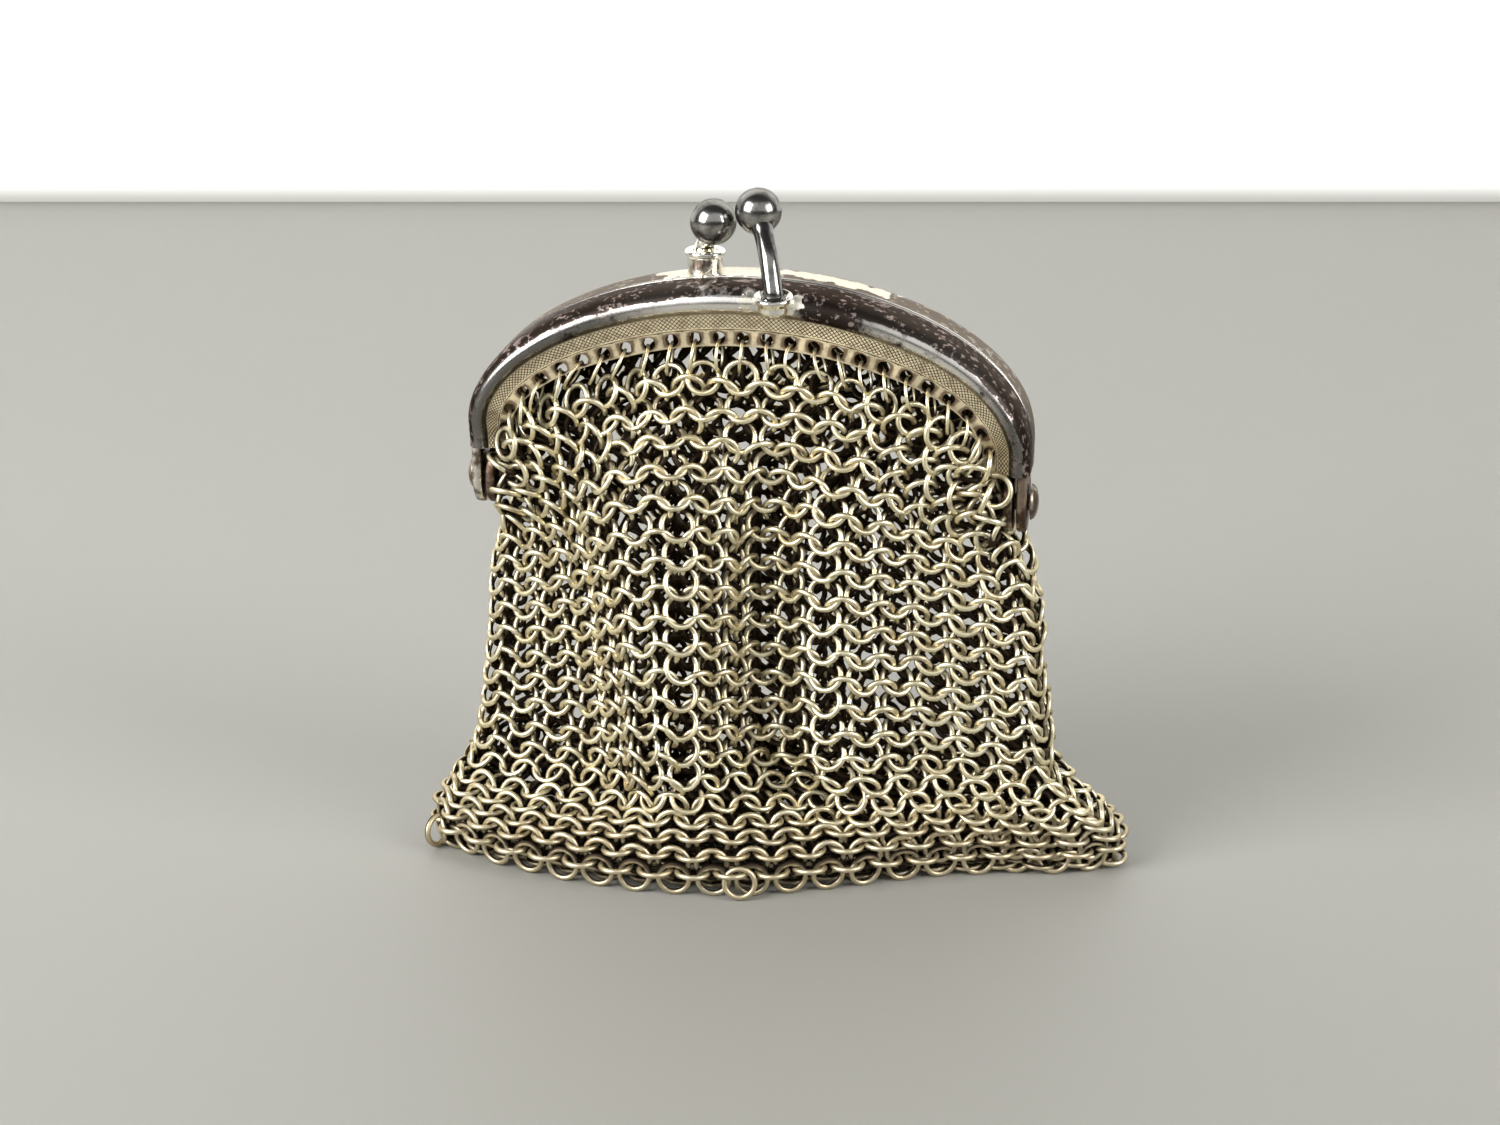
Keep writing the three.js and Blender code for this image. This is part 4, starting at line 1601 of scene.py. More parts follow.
@dataclass(frozen=True)
class PleatKnot:
    """Where a column of rings stands halfway down the pouch, and how far it drifts right further down."""

    column: float
    x: float
    y: float
    drift: float = 0.0


@dataclass(frozen=True)
class HemKnot:
    """A corner of the base's outline on the table."""

    x: float
    y: float


@dataclass(frozen=True)
class Spread:
    """How wide and deep the pleats are at a share of the way down, against halfway down."""

    down: float
    wide: float
    deep: float


@dataclass(frozen=True)
class HangingLean:
    """How far the lower ends of the hanging rings lean to the right, at a share of the arch."""

    share: float
    degrees: float


@dataclass(frozen=True)
class RowStep:
    """How far apart the rows are, against the others, at a row counted from the rim."""

    row: float
    step: float


PLEATS = {
    Side.FRONT: (
        PleatKnot(0.0, -28.6, 2.4),
        PleatKnot(0.5, -28.1, 0.6),
        PleatKnot(1.5, -24.1, -1.6, 0.6),
        PleatKnot(2.5, -20.6, -3.2, 1.4),
        PleatKnot(3.5, -17.0, -4.9, 2.2),
        PleatKnot(4.5, -14.5, -7.4, 2.4),
        PleatKnot(5.5, -12.1, -9.9, 2.0),
        PleatKnot(6.5, -9.2, -11.7, 0.9),
        PleatKnot(7.5, -5.2, -11.9, 0.2),
        PleatKnot(8.5, -2.8, -9.3),
        PleatKnot(9.5, -0.5, -6.4),
        PleatKnot(10.5, 1.9, -4.0),
        PleatKnot(11.5, 5.3, -5.2),
        PleatKnot(12.5, 9.2, -7.3),
        PleatKnot(13.5, 12.9, -6.6),
        PleatKnot(14.5, 16.2, -4.4),
        PleatKnot(15.5, 19.9, -3.3),
        PleatKnot(16.5, 23.6, -2.8),
        PleatKnot(17.5, 27.4, -2.2),
        PleatKnot(18.5, 30.3, -0.4),
        PleatKnot(19.0, 30.8, 1.8),
    ),
    Side.BACK: (
        PleatKnot(0.0, -28.6, 2.4),
        PleatKnot(0.5, -27.7, 4.2),
        PleatKnot(1.4, -25.0, 6.4),
        PleatKnot(2.3, -21.8, 7.8),
        PleatKnot(3.1, -19.0, 8.4),
        PleatKnot(5.7, -12.6, 2.8),
        PleatKnot(8.5, -8.8, 10.2),
        PleatKnot(11.4, -3.0, 2.8),
        PleatKnot(14.2, 0.6, 9.8),
        PleatKnot(17.0, 6.4, 2.8),
        PleatKnot(19.7, 10.6, 9.4),
        PleatKnot(20.4, 13.4, 9.9),
        PleatKnot(21.3, 16.8, 9.3),
        PleatKnot(22.3, 20.4, 8.3),
        PleatKnot(23.3, 24.0, 7.0),
        PleatKnot(24.3, 27.2, 5.1),
        PleatKnot(25.2, 29.6, 3.3),
        PleatKnot(26.0, 30.8, 1.8),
    ),
}

HEMS = {
    Side.FRONT: (
        HemKnot(-34.3, -5.4),
        HemKnot(-28.1, -9.5),
        HemKnot(-18.4, -12.6),
        HemKnot(-8.3, -14.0),
        HemKnot(1.3, -13.2),
        HemKnot(10.4, -9.9),
        HemKnot(19.5, -5.6),
        HemKnot(28.8, -2.5),
        HemKnot(36.2, -1.2),
        HemKnot(39.6, 0.4),
        HemKnot(40.7, 3.4),
    ),
    Side.BACK: (
        HemKnot(-34.3, -5.4),
        HemKnot(-33.4, -1.0),
        HemKnot(-27.0, 4.5),
        HemKnot(-17.0, 8.8),
        HemKnot(-6.0, 11.3),
        HemKnot(5.0, 12.0),
        HemKnot(16.0, 11.8),
        HemKnot(27.0, 10.3),
        HemKnot(35.0, 7.8),
        HemKnot(39.6, 5.4),
        HemKnot(40.7, 3.4),
    ),
}

SPREADS = (
    Spread(0.00, 0.94, 0.90),
    Spread(0.30, 0.98, 0.96),
    Spread(0.50, 1.00, 1.00),
    Spread(0.72, 1.04, 0.98),
    Spread(0.86, 1.06, 0.88),
    Spread(1.00, 1.08, 0.85),
)

HANGING_LEANS = (
    HangingLean(-0.93, 22),
    HangingLean(-0.80, 0),
    HangingLean(-0.60, -22),
    HangingLean(-0.35, -20),
    HangingLean(-0.10, -5),
    HangingLean(0.05, 8),
    HangingLean(0.30, 10),
    HangingLean(0.60, 5),
    HangingLean(0.80, -20),
    HangingLean(0.93, -40),
)

ROW_STEPS = (
    RowStep(0, 1.0),
    RowStep(29, 1.0),
    RowStep(32, 0.62),
    RowStep(39, 0.62),
)


@dataclass(frozen=True)
class PouchForm:
    """The form that the mail hangs in: from the holes down in pleats, out to the hem and in under the base.

    Attributes:
        arch: The frame's arch.
        holes: The holes that the mail hangs from.
        columns: Columns of rings across the front.
        back_columns: Columns of rings across the back, which is gathered more.
        wall_rows: Rows from the rim to the hem.
        base_rows: Rows from the hem to the bottom seam.
        hang: How far the front's first row hangs below the holes.
        back_hang: The same at the back.
        hang_out: How far it stands out from them.
        hem_height: The height of the middles of the hem's rings.
        base_height: The height of the middles of the base's rings.
        hem_share: How wide the line of ring middles is against the base's outline.
        seam_ends: X and Y of the two ends of the bottom seam.
        rim_slack: How much wider than even the columns are in the middle of the rim.
        back_fold: How far the back's mail sags inwards below its rim.
        fold_down: The share of the way down at which it sags most.
        fold_reach: How far from there it sags, as a share of the way down.
        drift_middle: The share of the way down at which the pleats haven't drifted.
        drift_span: The share of the way down in which they drift by their full measure.
        drift_least: How far back they have drifted at most above the middle.
        rim_to_pleat: Where on the way down the columns reach the pleats, in X and in Y.
        pleat_to_hem: Where they go from the pleats to the hem, in X and in Y.
        base_drop: Where under the base the rings come down to the table.
        wall_points: How many points the way down is read at.
        base_points: How many points the way under the base is read at.
        hem_points: How many points the base's outline is read at.
    """

    arch: Arch
    holes: HoleRow
    columns: int = 19
    back_columns: int = 26
    wall_rows: int = 39
    base_rows: int = 7
    hang: float = 4.15
    back_hang: float = 1.6
    hang_out: float = 0.3
    hem_height: float = 1.8
    base_height: float = 0.85
    hem_share: float = 0.97
    seam_ends: tuple[tuple[float, float], ...] = ((-27.5, -3.4), (32.5, 2.8))
    rim_slack: float = 0.18
    back_fold: float = 3.2
    fold_down: float = 0.07
    fold_reach: float = 0.035
    drift_middle: float = 0.5
    drift_span: float = 0.35
    drift_least: float = -0.8
    rim_to_pleat: tuple[Ease, Ease] = (Ease(0.05, 0.32), Ease(0.0, 0.26))
    pleat_to_hem: tuple[Ease, Ease] = (Ease(0.75, 0.985), Ease(0.85, 0.995))
    base_drop: Ease = Ease(0.0, 0.25)
    wall_points: int = 61
    base_points: int = 21
    hem_points: int = 400

    def halves(self, side: Side) -> int:
        """How many half columns a panel has."""
        return 2 * (self.columns if side is Side.FRONT else self.back_columns)

    def rim(self, side: Side) -> Array:
        """The middles of the first row's rings at each half column of a panel.

        Args:
            side: The panel.

        Returns:
            A point for each half column.
        """
        shares = self.holes.shares()
        longer = np.concatenate([[2 * shares[0] - shares[1]], shares, [2 * shares[-1] - shares[-2]]])
        even = np.linspace(0, 1, self.halves(side) + 1)
        wider = even - self.rim_slack / (2 * math.pi) * np.sin(2 * math.pi * even)
        wanted = self.holes.count * wider - 0.5
        share = np.interp(wanted, np.arange(-1, self.holes.count + 1), longer)
        flat = np.ones_like(share)
        place = self.arch.surface(side, share, flat * self.holes.drop, flat * self.holes.depth)
        hang = self.hang if side is Side.FRONT else self.back_hang
        return place + [0, side.value * self.hang_out, -hang]

    def hem(self, side: Side) -> Array:
        """The middles of the hem's rings at each half column, evenly spaced round the base.

        Args:
            side: The panel.

        Returns:
            A point for each half column.
        """
        knots = HEMS[side]
        keys = list(range(len(knots)))
        fine = np.linspace(0, len(knots) - 1, self.hem_points)
        line = [read_table(keys, [getattr(knot, axis) for knot in knots], fine) for axis in "xy"]
        outline = evenly(np.stack(line, -1) * self.hem_share, self.halves(side) + 1)
        return np.column_stack([outline, np.full(len(outline), self.hem_height)])

    def wall(self, side: Side) -> Array:
        """The way down each half column of a panel from its rim to its hem.

        Args:
            side: The panel.

        Returns:
            A point for each step of the way down and each half column.
        """
        knots = PLEATS[side]
        column = np.arange(self.halves(side) + 1) / 2
        keys = [knot.column for knot in knots]
        pleat_x, pleat_y, drift = (
            read_table(keys, [getattr(knot, name) for knot in knots], column) for name in ("x", "y", "drift")
        )
        rim, hem = self.rim(side), self.hem(side)
        down = np.linspace(0, 1, self.wall_points)[:, None]
        steps = [row.down for row in SPREADS]
        wide, deep = (
            read_table(steps, [getattr(row, name) for row in SPREADS], down) for name in ("wide", "deep")
        )
        drifted = np.clip((down - self.drift_middle) / self.drift_span, self.drift_least, 1)
        pleats = (pleat_x * wide + drift * drifted, pleat_y * deep)
        flat = []
        for axis, pleat in enumerate(pleats):
            place = rim[:, axis] + (pleat - rim[:, axis]) * self.rim_to_pleat[axis].at(down)
            flat.append(place + (hem[:, axis] - place) * self.pleat_to_hem[axis].at(down))
        x, y = flat
        if side is Side.BACK:
            y = y - self.back_fold * np.exp(-(((down - self.fold_down) / self.fold_reach) ** 2))
        z = rim[:, 2] + (hem[:, 2] - rim[:, 2]) * down
        return np.stack([x, y, z], -1)

    def base(self, side: Side) -> Array:
        """The way in under the base from the hem to the bottom seam, as wall gives it.

        Args:
            side: The panel.

        Returns:
            A point for each step of the way in and each half column.
        """
        hem = self.hem(side)
        start, end = np.array(self.seam_ends)
        seam = start + (end - start) * np.linspace(0, 1, len(hem))[:, None]
        way = np.linspace(0, 1, self.base_points)[:, None]
        flat = [hem[:, axis] + (seam[:, axis] - hem[:, axis]) * way for axis in (0, 1)]
        z = self.base_height + (hem[:, 2] - self.base_height) * (1 - self.base_drop.at(way))
        return np.stack([*flat, z], -1)

    def row_shares(self) -> Array:
        """How far down the wall each row is.

        Returns:
            The shares of the way down, from 0 at the rim to 1 at the hem.
        """
        keys, steps = zip(*((knot.row, knot.step) for knot in ROW_STEPS))
        steps = np.interp(np.arange(self.wall_rows) + 0.5, keys, steps)
        return np.concatenate([[0], np.cumsum(steps)]) / steps.sum()

    def rings(self, side: Side) -> Array:
        """The middles of a panel's rings before they settle, by row and half column.

        Args:
            side: The panel.

        Returns:
            A point for each row and half column.
        """
        wall, base, shares = self.wall(side), self.base(side), self.row_shares()
        out = []
        for k in range(self.halves(side) + 1):
            down = spaced(wall[:, k], shares)
            under = evenly(base[:, k], self.base_rows + 1)[1:]
            out.append(np.concatenate([down, under]))
        return np.stack(out, 1)


@dataclass(frozen=True)
class RingSet:
    """Placed rings.

    Attributes:
        centres: Their middles.
        first_axes: An axis of each ring's plane.
        second_axes: The axis of its plane square to the first.
        outwards: The way out of the mail at each ring.
        rows: The row that each ring is in.
        columns: The half column that it is in.
        touches: Four angles round each ring at which others rub on it, in radians.
        wire_radius: Half the thickness of their wire.
    """

    centres: Array
    first_axes: Array
    second_axes: Array
    outwards: Array
    rows: Array
    columns: Array
    touches: Array
    wire_radius: float


@dataclass(frozen=True)
class LooseRing:
    """A ring that sticks out at the hem: its middle, and how far it is turned and tilted, in degrees."""

    middle: tuple[float, float, float]
    turn: float
    tilt: float


LOOSE_RINGS = (
    LooseRing((1.3, -13.7, 2.0), 10.0, 4.0),
    LooseRing((39.2, 2.2, 0.9), 20.0, 82.0),
    LooseRing((-33.6, -6.2, 1.95), 62.0, 6.0),
)


@dataclass(frozen=True)
class MailPouch:
    """The pouch of rings, laid out so that each belongs with two above it and two below it.

    Not every ring passes through those it belongs with, and the wires of crowded rings overlap.

    Attributes:
        form: The form that the mail hangs in.
        ring_radius: From a ring's middle to the middle of its wire.
        wire_radius: Half the wire's thickness.
        hanging_wire: Half the thickness of the hanging rings' wire.
        lean: How far the rings of a row lean out of the mail's surface, in degrees.
        flat_lean: The same under the base, where the mail lies flat.
        foot_rows: Rows above the hem in which the mail is slack.
        lying_tilt: How far up the even rows' rings face near the hem, where they lie on each other.
        standing_tilt: The same for the odd rows' rings, which stand.
        slit_rows: Rows at the top whose two panels aren't joined at the sides.
        loose_rows: Rows at the top that hang less evenly.
        link_least: The least wanted distance of linked rings.
        link_most: The most wanted distance of linked rings.
        row_least: The least wanted distance of neighbours in a row.
        rim_least: The same in the loose rows.
        column_least: The least wanted distance of rings one above the other.
        slack_link: The least wanted distance of linked rings in the foot rows.
        slack_column: The least wanted distance of rings one above the other in the foot rows.
        easy_pitch: The distance in a row at which rings hang square to it.
        seed: The seed of the random draws.
        crowded_rows: Rows at the top in which rings may be as close as rim_least.
        pair_most: The most wanted distance of neighbours in a row and of rings one above the other.
        jitter: How far the rings are shifted at random.
        loose_jitter: The same in the loose rows.
        pull: How much of its way back to its place a ring goes in a round.
        overshoot: How many times its mean correction a ring is moved in a round.
        rounds: How many rounds the rings are moved in.
        hanging_sway: How far the hanging rings lean at random, in degrees.
        hanging_turn: How far they are turned at random, in degrees.
        hanging_out: How far out of the holes their middles are.
        hanging_drop: How much further than their radius they hang below the holes' middles.
        lean_jitter: How far the rings lean at random, in degrees.
        turn_jitter: How far they are turned at random, in degrees.
        loose_factor: How many times as far that is in the loose rows.
        stack_fade: The rows from the hem in which the lean turns into that of the hem.
        crowd_least: The share of the easy pitch below which crowded rings turn no further.
        size_jitter: How far the rings' sizes differ at random.
        rub_reach: How far round a ring a rubbed place reaches, in radians.
        rub_outside: How much of the rubbing the outer side of the wire has.
        shade_depth: From clean to painted shade, by how far behind the middle of its ring the wire is.
        shown_depth: How much further behind the painted shade starts in even rows.
        edge_shade: How much of this painted shade the rim, the hem, the base and the hanging rings have.
        foot_shade: How much painted shade darkens the rings at the foot, through their rubbing value.
        foot_shade_fade: The rows from the hem in which this painted shade grows.
        tint_middle: The mean tint of the rings.
        tint_spread: How far their tints differ at random.
        tile_margin: The margin of a ring's tile in the UV map.
        ring_sides: How many sides a ring has.
        wire_sides: How many sides its wire has.
    """

    form: PouchForm
    ring_radius: float = 1.64
    wire_radius: float = 0.305
    hanging_wire: float = 0.18
    lean: float = 27.0
    flat_lean: float = 15.0
    foot_rows: int = 9
    lying_tilt: float = 92.0
    standing_tilt: float = -3.0
    slit_rows: int = 6
    loose_rows: int = 6
    seed: int = 11
    link_least: float = 1.8
    link_most: float = 2.72
    row_least: float = 3.45
    rim_least: float = 2.7
    column_least: float = 2.2
    slack_link: float = 1.5
    slack_column: float = 1.5
    easy_pitch: float = 3.7
    crowded_rows: int = 8
    pair_most: float = 9.0
    jitter: float = 0.05
    loose_jitter: float = 0.14
    pull: float = 0.08
    overshoot: float = 1.5
    rounds: int = 90
    hanging_sway: float = 5.0
    hanging_turn: float = 9.0
    hanging_out: float = 0.15
    hanging_drop: float = 0.36
    lean_jitter: float = 3.0
    turn_jitter: float = 3.5
    loose_factor: float = 2.2
    stack_fade: Ease = Ease(-11.0, -4.0)
    crowd_least: float = 0.78
    size_jitter: float = 0.012
    rub_reach: float = 0.33
    rub_outside: float = 0.35
    shade_depth: Ease = Ease(0.0, 0.4)
    shown_depth: float = 0.35
    edge_shade: float = 0.4
    foot_shade: float = 0.5
    foot_shade_fade: Ease = Ease(-10.0, -4.0)
    tint_middle: float = 0.45
    tint_spread: float = 0.28
    tile_margin: float = 0.03
    ring_sides: int = 24
    wire_sides: int = 8

    @property
    def rows(self) -> int:
        """The number of the bottom seam's row."""
        return self.form.wall_rows + self.form.base_rows

    @property
    def half(self) -> int:
        """How many half columns the front has."""
        return self.form.halves(Side.FRONT)

    @property
    def back_half(self) -> int:
        """How many half columns the back has."""
        return self.form.halves(Side.BACK)

    def lay_out(self) -> tuple[Array, Array]:
        """Places each ring on the form.

        Returns:
            The number of the ring at each row and half column, or -1, and the places of the rings.
        """
        half = self.half
        whole = half + self.back_half
        table = np.full((self.rows + 1, whole), -1)
        front, back = self.form.rings(Side.FRONT), self.form.rings(Side.BACK)
        places = []
        for row in range(self.rows):
            for q in range((row + 1) % 2, whole, 2):
                if q in (0, half) and row < self.slit_rows:
                    continue
                table[row, q] = len(places)
                places.append(front[row, q] if q <= half else back[row, whole - q])
        for q in range(1, half, 2):
            table[self.rows, q] = len(places)
            places.append(front[self.rows, q])
        for k in range(1, self.back_half, 2):
            facing = 2 * int(k * half / self.back_half / 2) + 1
            table[self.rows, whole - k] = table[self.rows, facing]
        return table, np.array(places)

    def links(self, table: Array) -> tuple[Array, Array, Array]:
        """The pairs of rings that belong together.

        Args:
            table: The number of the ring at each row and half column.

        Returns:
            Three arrays of pairs: linked rings, the upper first, with the side on which the lower one is,
            neighbours in a row, and rings one above the other.
        """
        whole = table.shape[1]
        linked, beside, above = [], [], []
        for row, q in np.argwhere(table >= 0):
            here = table[row, q]
            if table[row, (q + 2) % whole] >= 0:
                beside.append((here, table[row, (q + 2) % whole]))
            if row == self.rows:
                continue
            for way in (-1, 1):
                if table[row + 1, (q + way) % whole] >= 0:
                    linked.append((here, table[row + 1, (q + way) % whole], way))
            if row + 2 <= self.rows and table[row + 2, q] >= 0:
                above.append((here, table[row + 2, q]))
        return np.array(linked), np.array(beside), np.array(above)

    def settle(self, places: Array, rows: Array, linked: Array, beside: Array, above: Array) -> Array:
        """Moves the rings so that their links are less stretched and less pressed together.

        Args:
            places: The places on the form.
            rows: The row of each ring.
            linked: Pairs of linked rings.
            beside: Pairs in a row.
            above: Pairs one above the other.

        Returns:
            The settled places.
        """
        chance = np.random.default_rng(self.seed)
        loose = np.where(rows < self.loose_rows, self.loose_jitter, self.jitter)[:, None]
        x = places + chance.normal(0, 1, places.shape) * loose
        start = x.copy()
        pairs = np.concatenate([linked[:, :2], beside, above])
        row_gap = np.where(rows[beside[:, 0]] < self.crowded_rows, self.rim_least, self.row_least)
        tight = self.form.wall_rows - self.foot_rows
        link_gap = np.where(rows[linked[:, 0]] < tight, self.link_least, self.slack_link)
        column_gap = np.where(rows[above[:, 0]] < tight, self.column_least, self.slack_column)
        least = np.concatenate([link_gap, row_gap, column_gap])
        most = np.where(np.arange(len(pairs)) < len(linked), self.link_most, self.pair_most)
        count = np.bincount(pairs.ravel(), minlength=len(x)).astype(float)
        first, second = pairs.T
        for _ in range(self.rounds):
            x = x + (start - x) * self.pull
            gap = x[second] - x[first]
            length = np.linalg.norm(gap, axis=1)
            wrong = np.clip(length, least, most) - length
            move = gap / np.maximum(length, 1e-6)[:, None] * (wrong / 2)[:, None]
            for axis in range(3):
                shift = np.bincount(second, move[:, axis], len(x)) - np.bincount(first, move[:, axis], len(x))
                x[:, axis] += self.overshoot * shift / np.maximum(count, 1)
        return x

    def frames(self, places: Array, linked: Array) -> tuple[Array, Array, Array]:
        """The way that the mail runs at each ring.

        Args:
            places: The places of the rings.
            linked: Pairs of linked rings, the upper first, with the side on which the lower one is.

        Returns:
            Unit vectors along the row, up the column and out of the mail.
        """
        count = len(places)
        upper, lower, way = linked.T
        right, left = way > 0, way < 0

        def mean_place(pairs: list[tuple[Array, Array]]) -> Array:
            """The mean place of the rings linked on one side, or the ring's own place.

            Args:
                pairs: Arrays of rings and of those linked with them.

            Returns:
                The places.
            """
            to, source = (np.concatenate(part) for part in zip(*pairs))
            seen = np.bincount(to, minlength=count)[:, None]
            sums = np.stack([np.bincount(to, places[source][:, axis], count) for axis in range(3)], -1)
            return np.where(seen > 0, sums / np.maximum(seen, 1), places)

        to_right = mean_place([(upper[right], lower[right]), (lower[left], upper[left])])
        to_left = mean_place([(upper[left], lower[left]), (lower[right], upper[right])])
        along = unit(to_right - to_left)
        rise = mean_place([(lower, upper)]) - mean_place([(upper, lower)])
        out = unit(np.cross(along, rise))
        return along, unit(np.cross(out, along)), out

    def hanging(self) -> RingSet:
        """The rings in the flange holes, edge-on to the front, with their lower ends leaning.

        Returns:
            The rings.
        """
        chance = np.random.default_rng(self.seed + 1)
        shares = self.form.holes.shares()
        degrees = [row.degrees for row in HANGING_LEANS]
        lean = read_table([row.share for row in HANGING_LEANS], degrees, shares)
        middles, flats, uprights = [], [], []
        for side in Side:
            holes = self.form.holes.places(side)
            tip = np.radians(lean + chance.normal(0, self.hanging_sway, len(shares)))
            yaw = np.radians(chance.normal(0, self.hanging_turn, len(shares)))
            upright = np.stack([-np.sin(tip), np.zeros(len(tip)), np.cos(tip)], -1)
            flat = np.stack([np.sin(yaw) * np.cos(tip), np.cos(yaw), np.sin(yaw) * np.sin(tip)], -1)
            out = np.array([0, side.value * self.hanging_out, 0])
            middles.append(holes + out - upright * (self.ring_radius + self.hanging_drop))
            flats.append(flat)
            uprights.append(upright)
        count = 2 * len(shares)
        blank = np.tile([math.pi / 2, -math.pi / 2] * 2, (count, 1))
        return RingSet(
            np.concatenate(middles),
            np.concatenate(flats),
            np.concatenate(uprights),
            np.repeat([[0.0, -1.0, 0.0], [0.0, 1.0, 0.0]], len(shares), 0),
            np.full(count, -1),
            np.zeros(count, int),
            blank,
            self.hanging_wire,
        )

    def loose(self) -> RingSet:
        """The single rings that stick out at the hem.

        Returns:
            The rings.
        """
        count = len(LOOSE_RINGS)
        turn, tilt = np.radians([[ring.turn, ring.tilt] for ring in LOOSE_RINGS]).T[:, :, None]
        first = np.concatenate([np.cos(turn), np.sin(turn), 0 * turn], 1)
        facing = np.concatenate([np.sin(turn), -np.cos(turn), 0 * turn], 1)
        second = np.cos(tilt) * np.array([[0, 0, 1.0]]) - np.sin(tilt) * facing
        return RingSet(
            np.array([ring.middle for ring in LOOSE_RINGS]),
            first,
            second,
            facing,
            np.full(count, self.form.wall_rows),
            np.zeros(count, int),
            np.tile([math.pi / 2] * 4, (count, 1)),
            self.wire_radius,
        )

    def place_rings(self) -> RingSet:
        """Places every ring of the mail.

        Returns:
            The rings.
        """
        table, places = self.lay_out()
        linked, beside, above = self.links(table)
        rows, columns = np.zeros((2, len(places)), int)
        for row, q in np.argwhere(table >= 0)[::-1]:
            rows[table[row, q]], columns[table[row, q]] = row, q
        settled = self.settle(places, rows, linked, beside, above)
        along, up, out = self.frames(settled, linked)
        chance = np.random.default_rng(self.seed + 2)
        loose = np.where(rows < self.loose_rows, self.loose_factor, 1.0)
        lean = self._leans(rows, out)
        tip = np.where(rows % 2 == 0, -lean, lean) + chance.normal(0, self.lean_jitter, len(rows)) * loose
        tip = np.radians(tip)
        turned = np.radians(chance.normal(0, self.turn_jitter, len(rows)) * loose)
        yaw = self._turns(settled, beside, columns) + turned
        row_axis = unit(along * np.cos(yaw)[:, None] + out * np.sin(yaw)[:, None])
        facing = np.cross(row_axis, up)
        column_axis = unit(up * np.cos(tip)[:, None] + facing * np.sin(tip)[:, None])
        reach = self.ring_radius * np.hypot(row_axis[:, 2], column_axis[:, 2]) + self.wire_radius
        settled[:, 2] = np.maximum(settled[:, 2], reach)
        touches = self._touches(settled, linked, row_axis, column_axis)
        return RingSet(settled, row_axis, column_axis, out, rows, columns, touches, self.wire_radius)

    def _leans(self, rows: Array, out: Array) -> Array:
        """How far each ring leans out of the mail's surface, in degrees.

        Args:
            rows: The row of each ring.
            out: The way out of the mail at each ring.

        Returns:
            The leans: alike on the wall, and near the hem such that rings lie and stand in turn.
        """
        tilt = np.degrees(np.arcsin(np.clip(out[:, 2], -1, 1)))
        stacked = np.where(rows % 2 == 0, self.lying_tilt - tilt, tilt - self.standing_tilt)
        below = rows - self.form.wall_rows
        lean = self.lean + (stacked - self.lean) * self.stack_fade.at(below)
        return np.where(below > 0, self.flat_lean, lean)

    def _turns(self, places: Array, beside: Array, columns: Array) -> Array:
        """How far rings that crowd in their row turn out of it, to overlap like shingles.

        Args:
            places: The places of the rings.
            beside: Pairs in a row.
            columns: The half column of each ring.

        Returns:
            The turns in radians, one way on the left half of a panel and the other way on its right half.
        """
        gap = np.linalg.norm(places[beside[:, 1]] - places[beside[:, 0]], axis=1)
        seen = np.bincount(beside.ravel(), minlength=len(places))
        near = np.bincount(beside.ravel(), np.repeat(gap, 2), len(places)) / np.maximum(seen, 1)
        near = np.where(seen > 0, near, self.easy_pitch)
        turn = np.arccos(np.clip(near / self.easy_pitch, self.crowd_least, 1))
        back = (self.half + self.back_half - columns) / self.back_half
        share = np.where(columns <= self.half, columns / self.half, back)
        return np.where(share < 0.5, turn, -turn)

    def _touches(self, centres: Array, linked: Array, first: Array, second: Array) -> Array:
        """Where round each ring its linked rings rub on it.

        Args:
            centres: The middles of the rings.
            linked: Pairs of linked rings.
            first: The first axes of the rings.
            second: The second axes of the rings.

        Returns:
            Four angles for each ring, repeated where it has fewer links.
        """
        angles = [[] for _ in centres]
        for upper, lower, _ in linked:
            for here, there in ((upper, lower), (lower, upper)):
                way = centres[there] - centres[here]
                angles[here].append(math.atan2(way @ second[here], way @ first[here]))
        return np.array([(own * 4)[:4] if own else [0.0] * 4 for own in angles])

    def shell(self, rings: RingSet, pick: Array, seed: int) -> Shell:
        """The picked rings as one mesh.

        Args:
            rings: The placed rings.
            pick: Which of them to take.
            seed: The seed of their sizes and tints.

        Returns:
            The shell, with each ring's tint, the places where it is rubbed together with the painted shade at
            the foot, and how much painted shade it gets where it faces inwards and lies behind its ring's
            middle.
        """
        chance = np.random.default_rng(seed)
        centres = rings.centres[pick]
        first, second = rings.first_axes[pick][:, None], rings.second_axes[pick][:, None]
        facing = np.cross(first, second)[:, None]
        count = len(centres)
        turn, wire_turn = full_turn(self.ring_sides), full_turn(self.wire_sides)
        size = self.ring_radius * (1 + chance.normal(0, self.size_jitter, count))
        radial = first * np.cos(turn)[None, :, None] + second * np.sin(turn)[None, :, None]
        middle = centres[:, None] + radial * size[:, None, None]
        wire = radial[:, :, None] * np.cos(wire_turn)[:, None] + facing * np.sin(wire_turn)[:, None]
        points = (middle[:, :, None] + rings.wire_radius * wire).reshape(-1, 3)
        one = tube_faces(self.ring_sides, self.wire_sides, closed=True)
        per_ring = self.ring_sides * self.wire_sides
        faces = (one[None] + (np.arange(count) * per_ring)[:, None, None]).reshape(-1, 4)
        tint = np.repeat(np.clip(chance.normal(self.tint_middle, self.tint_spread, count), 0, 1), per_ring)
        rows = rings.rows[pick]
        rub_and_foot_shade = self._rubbing(rings.touches[pick], turn, wire_turn)
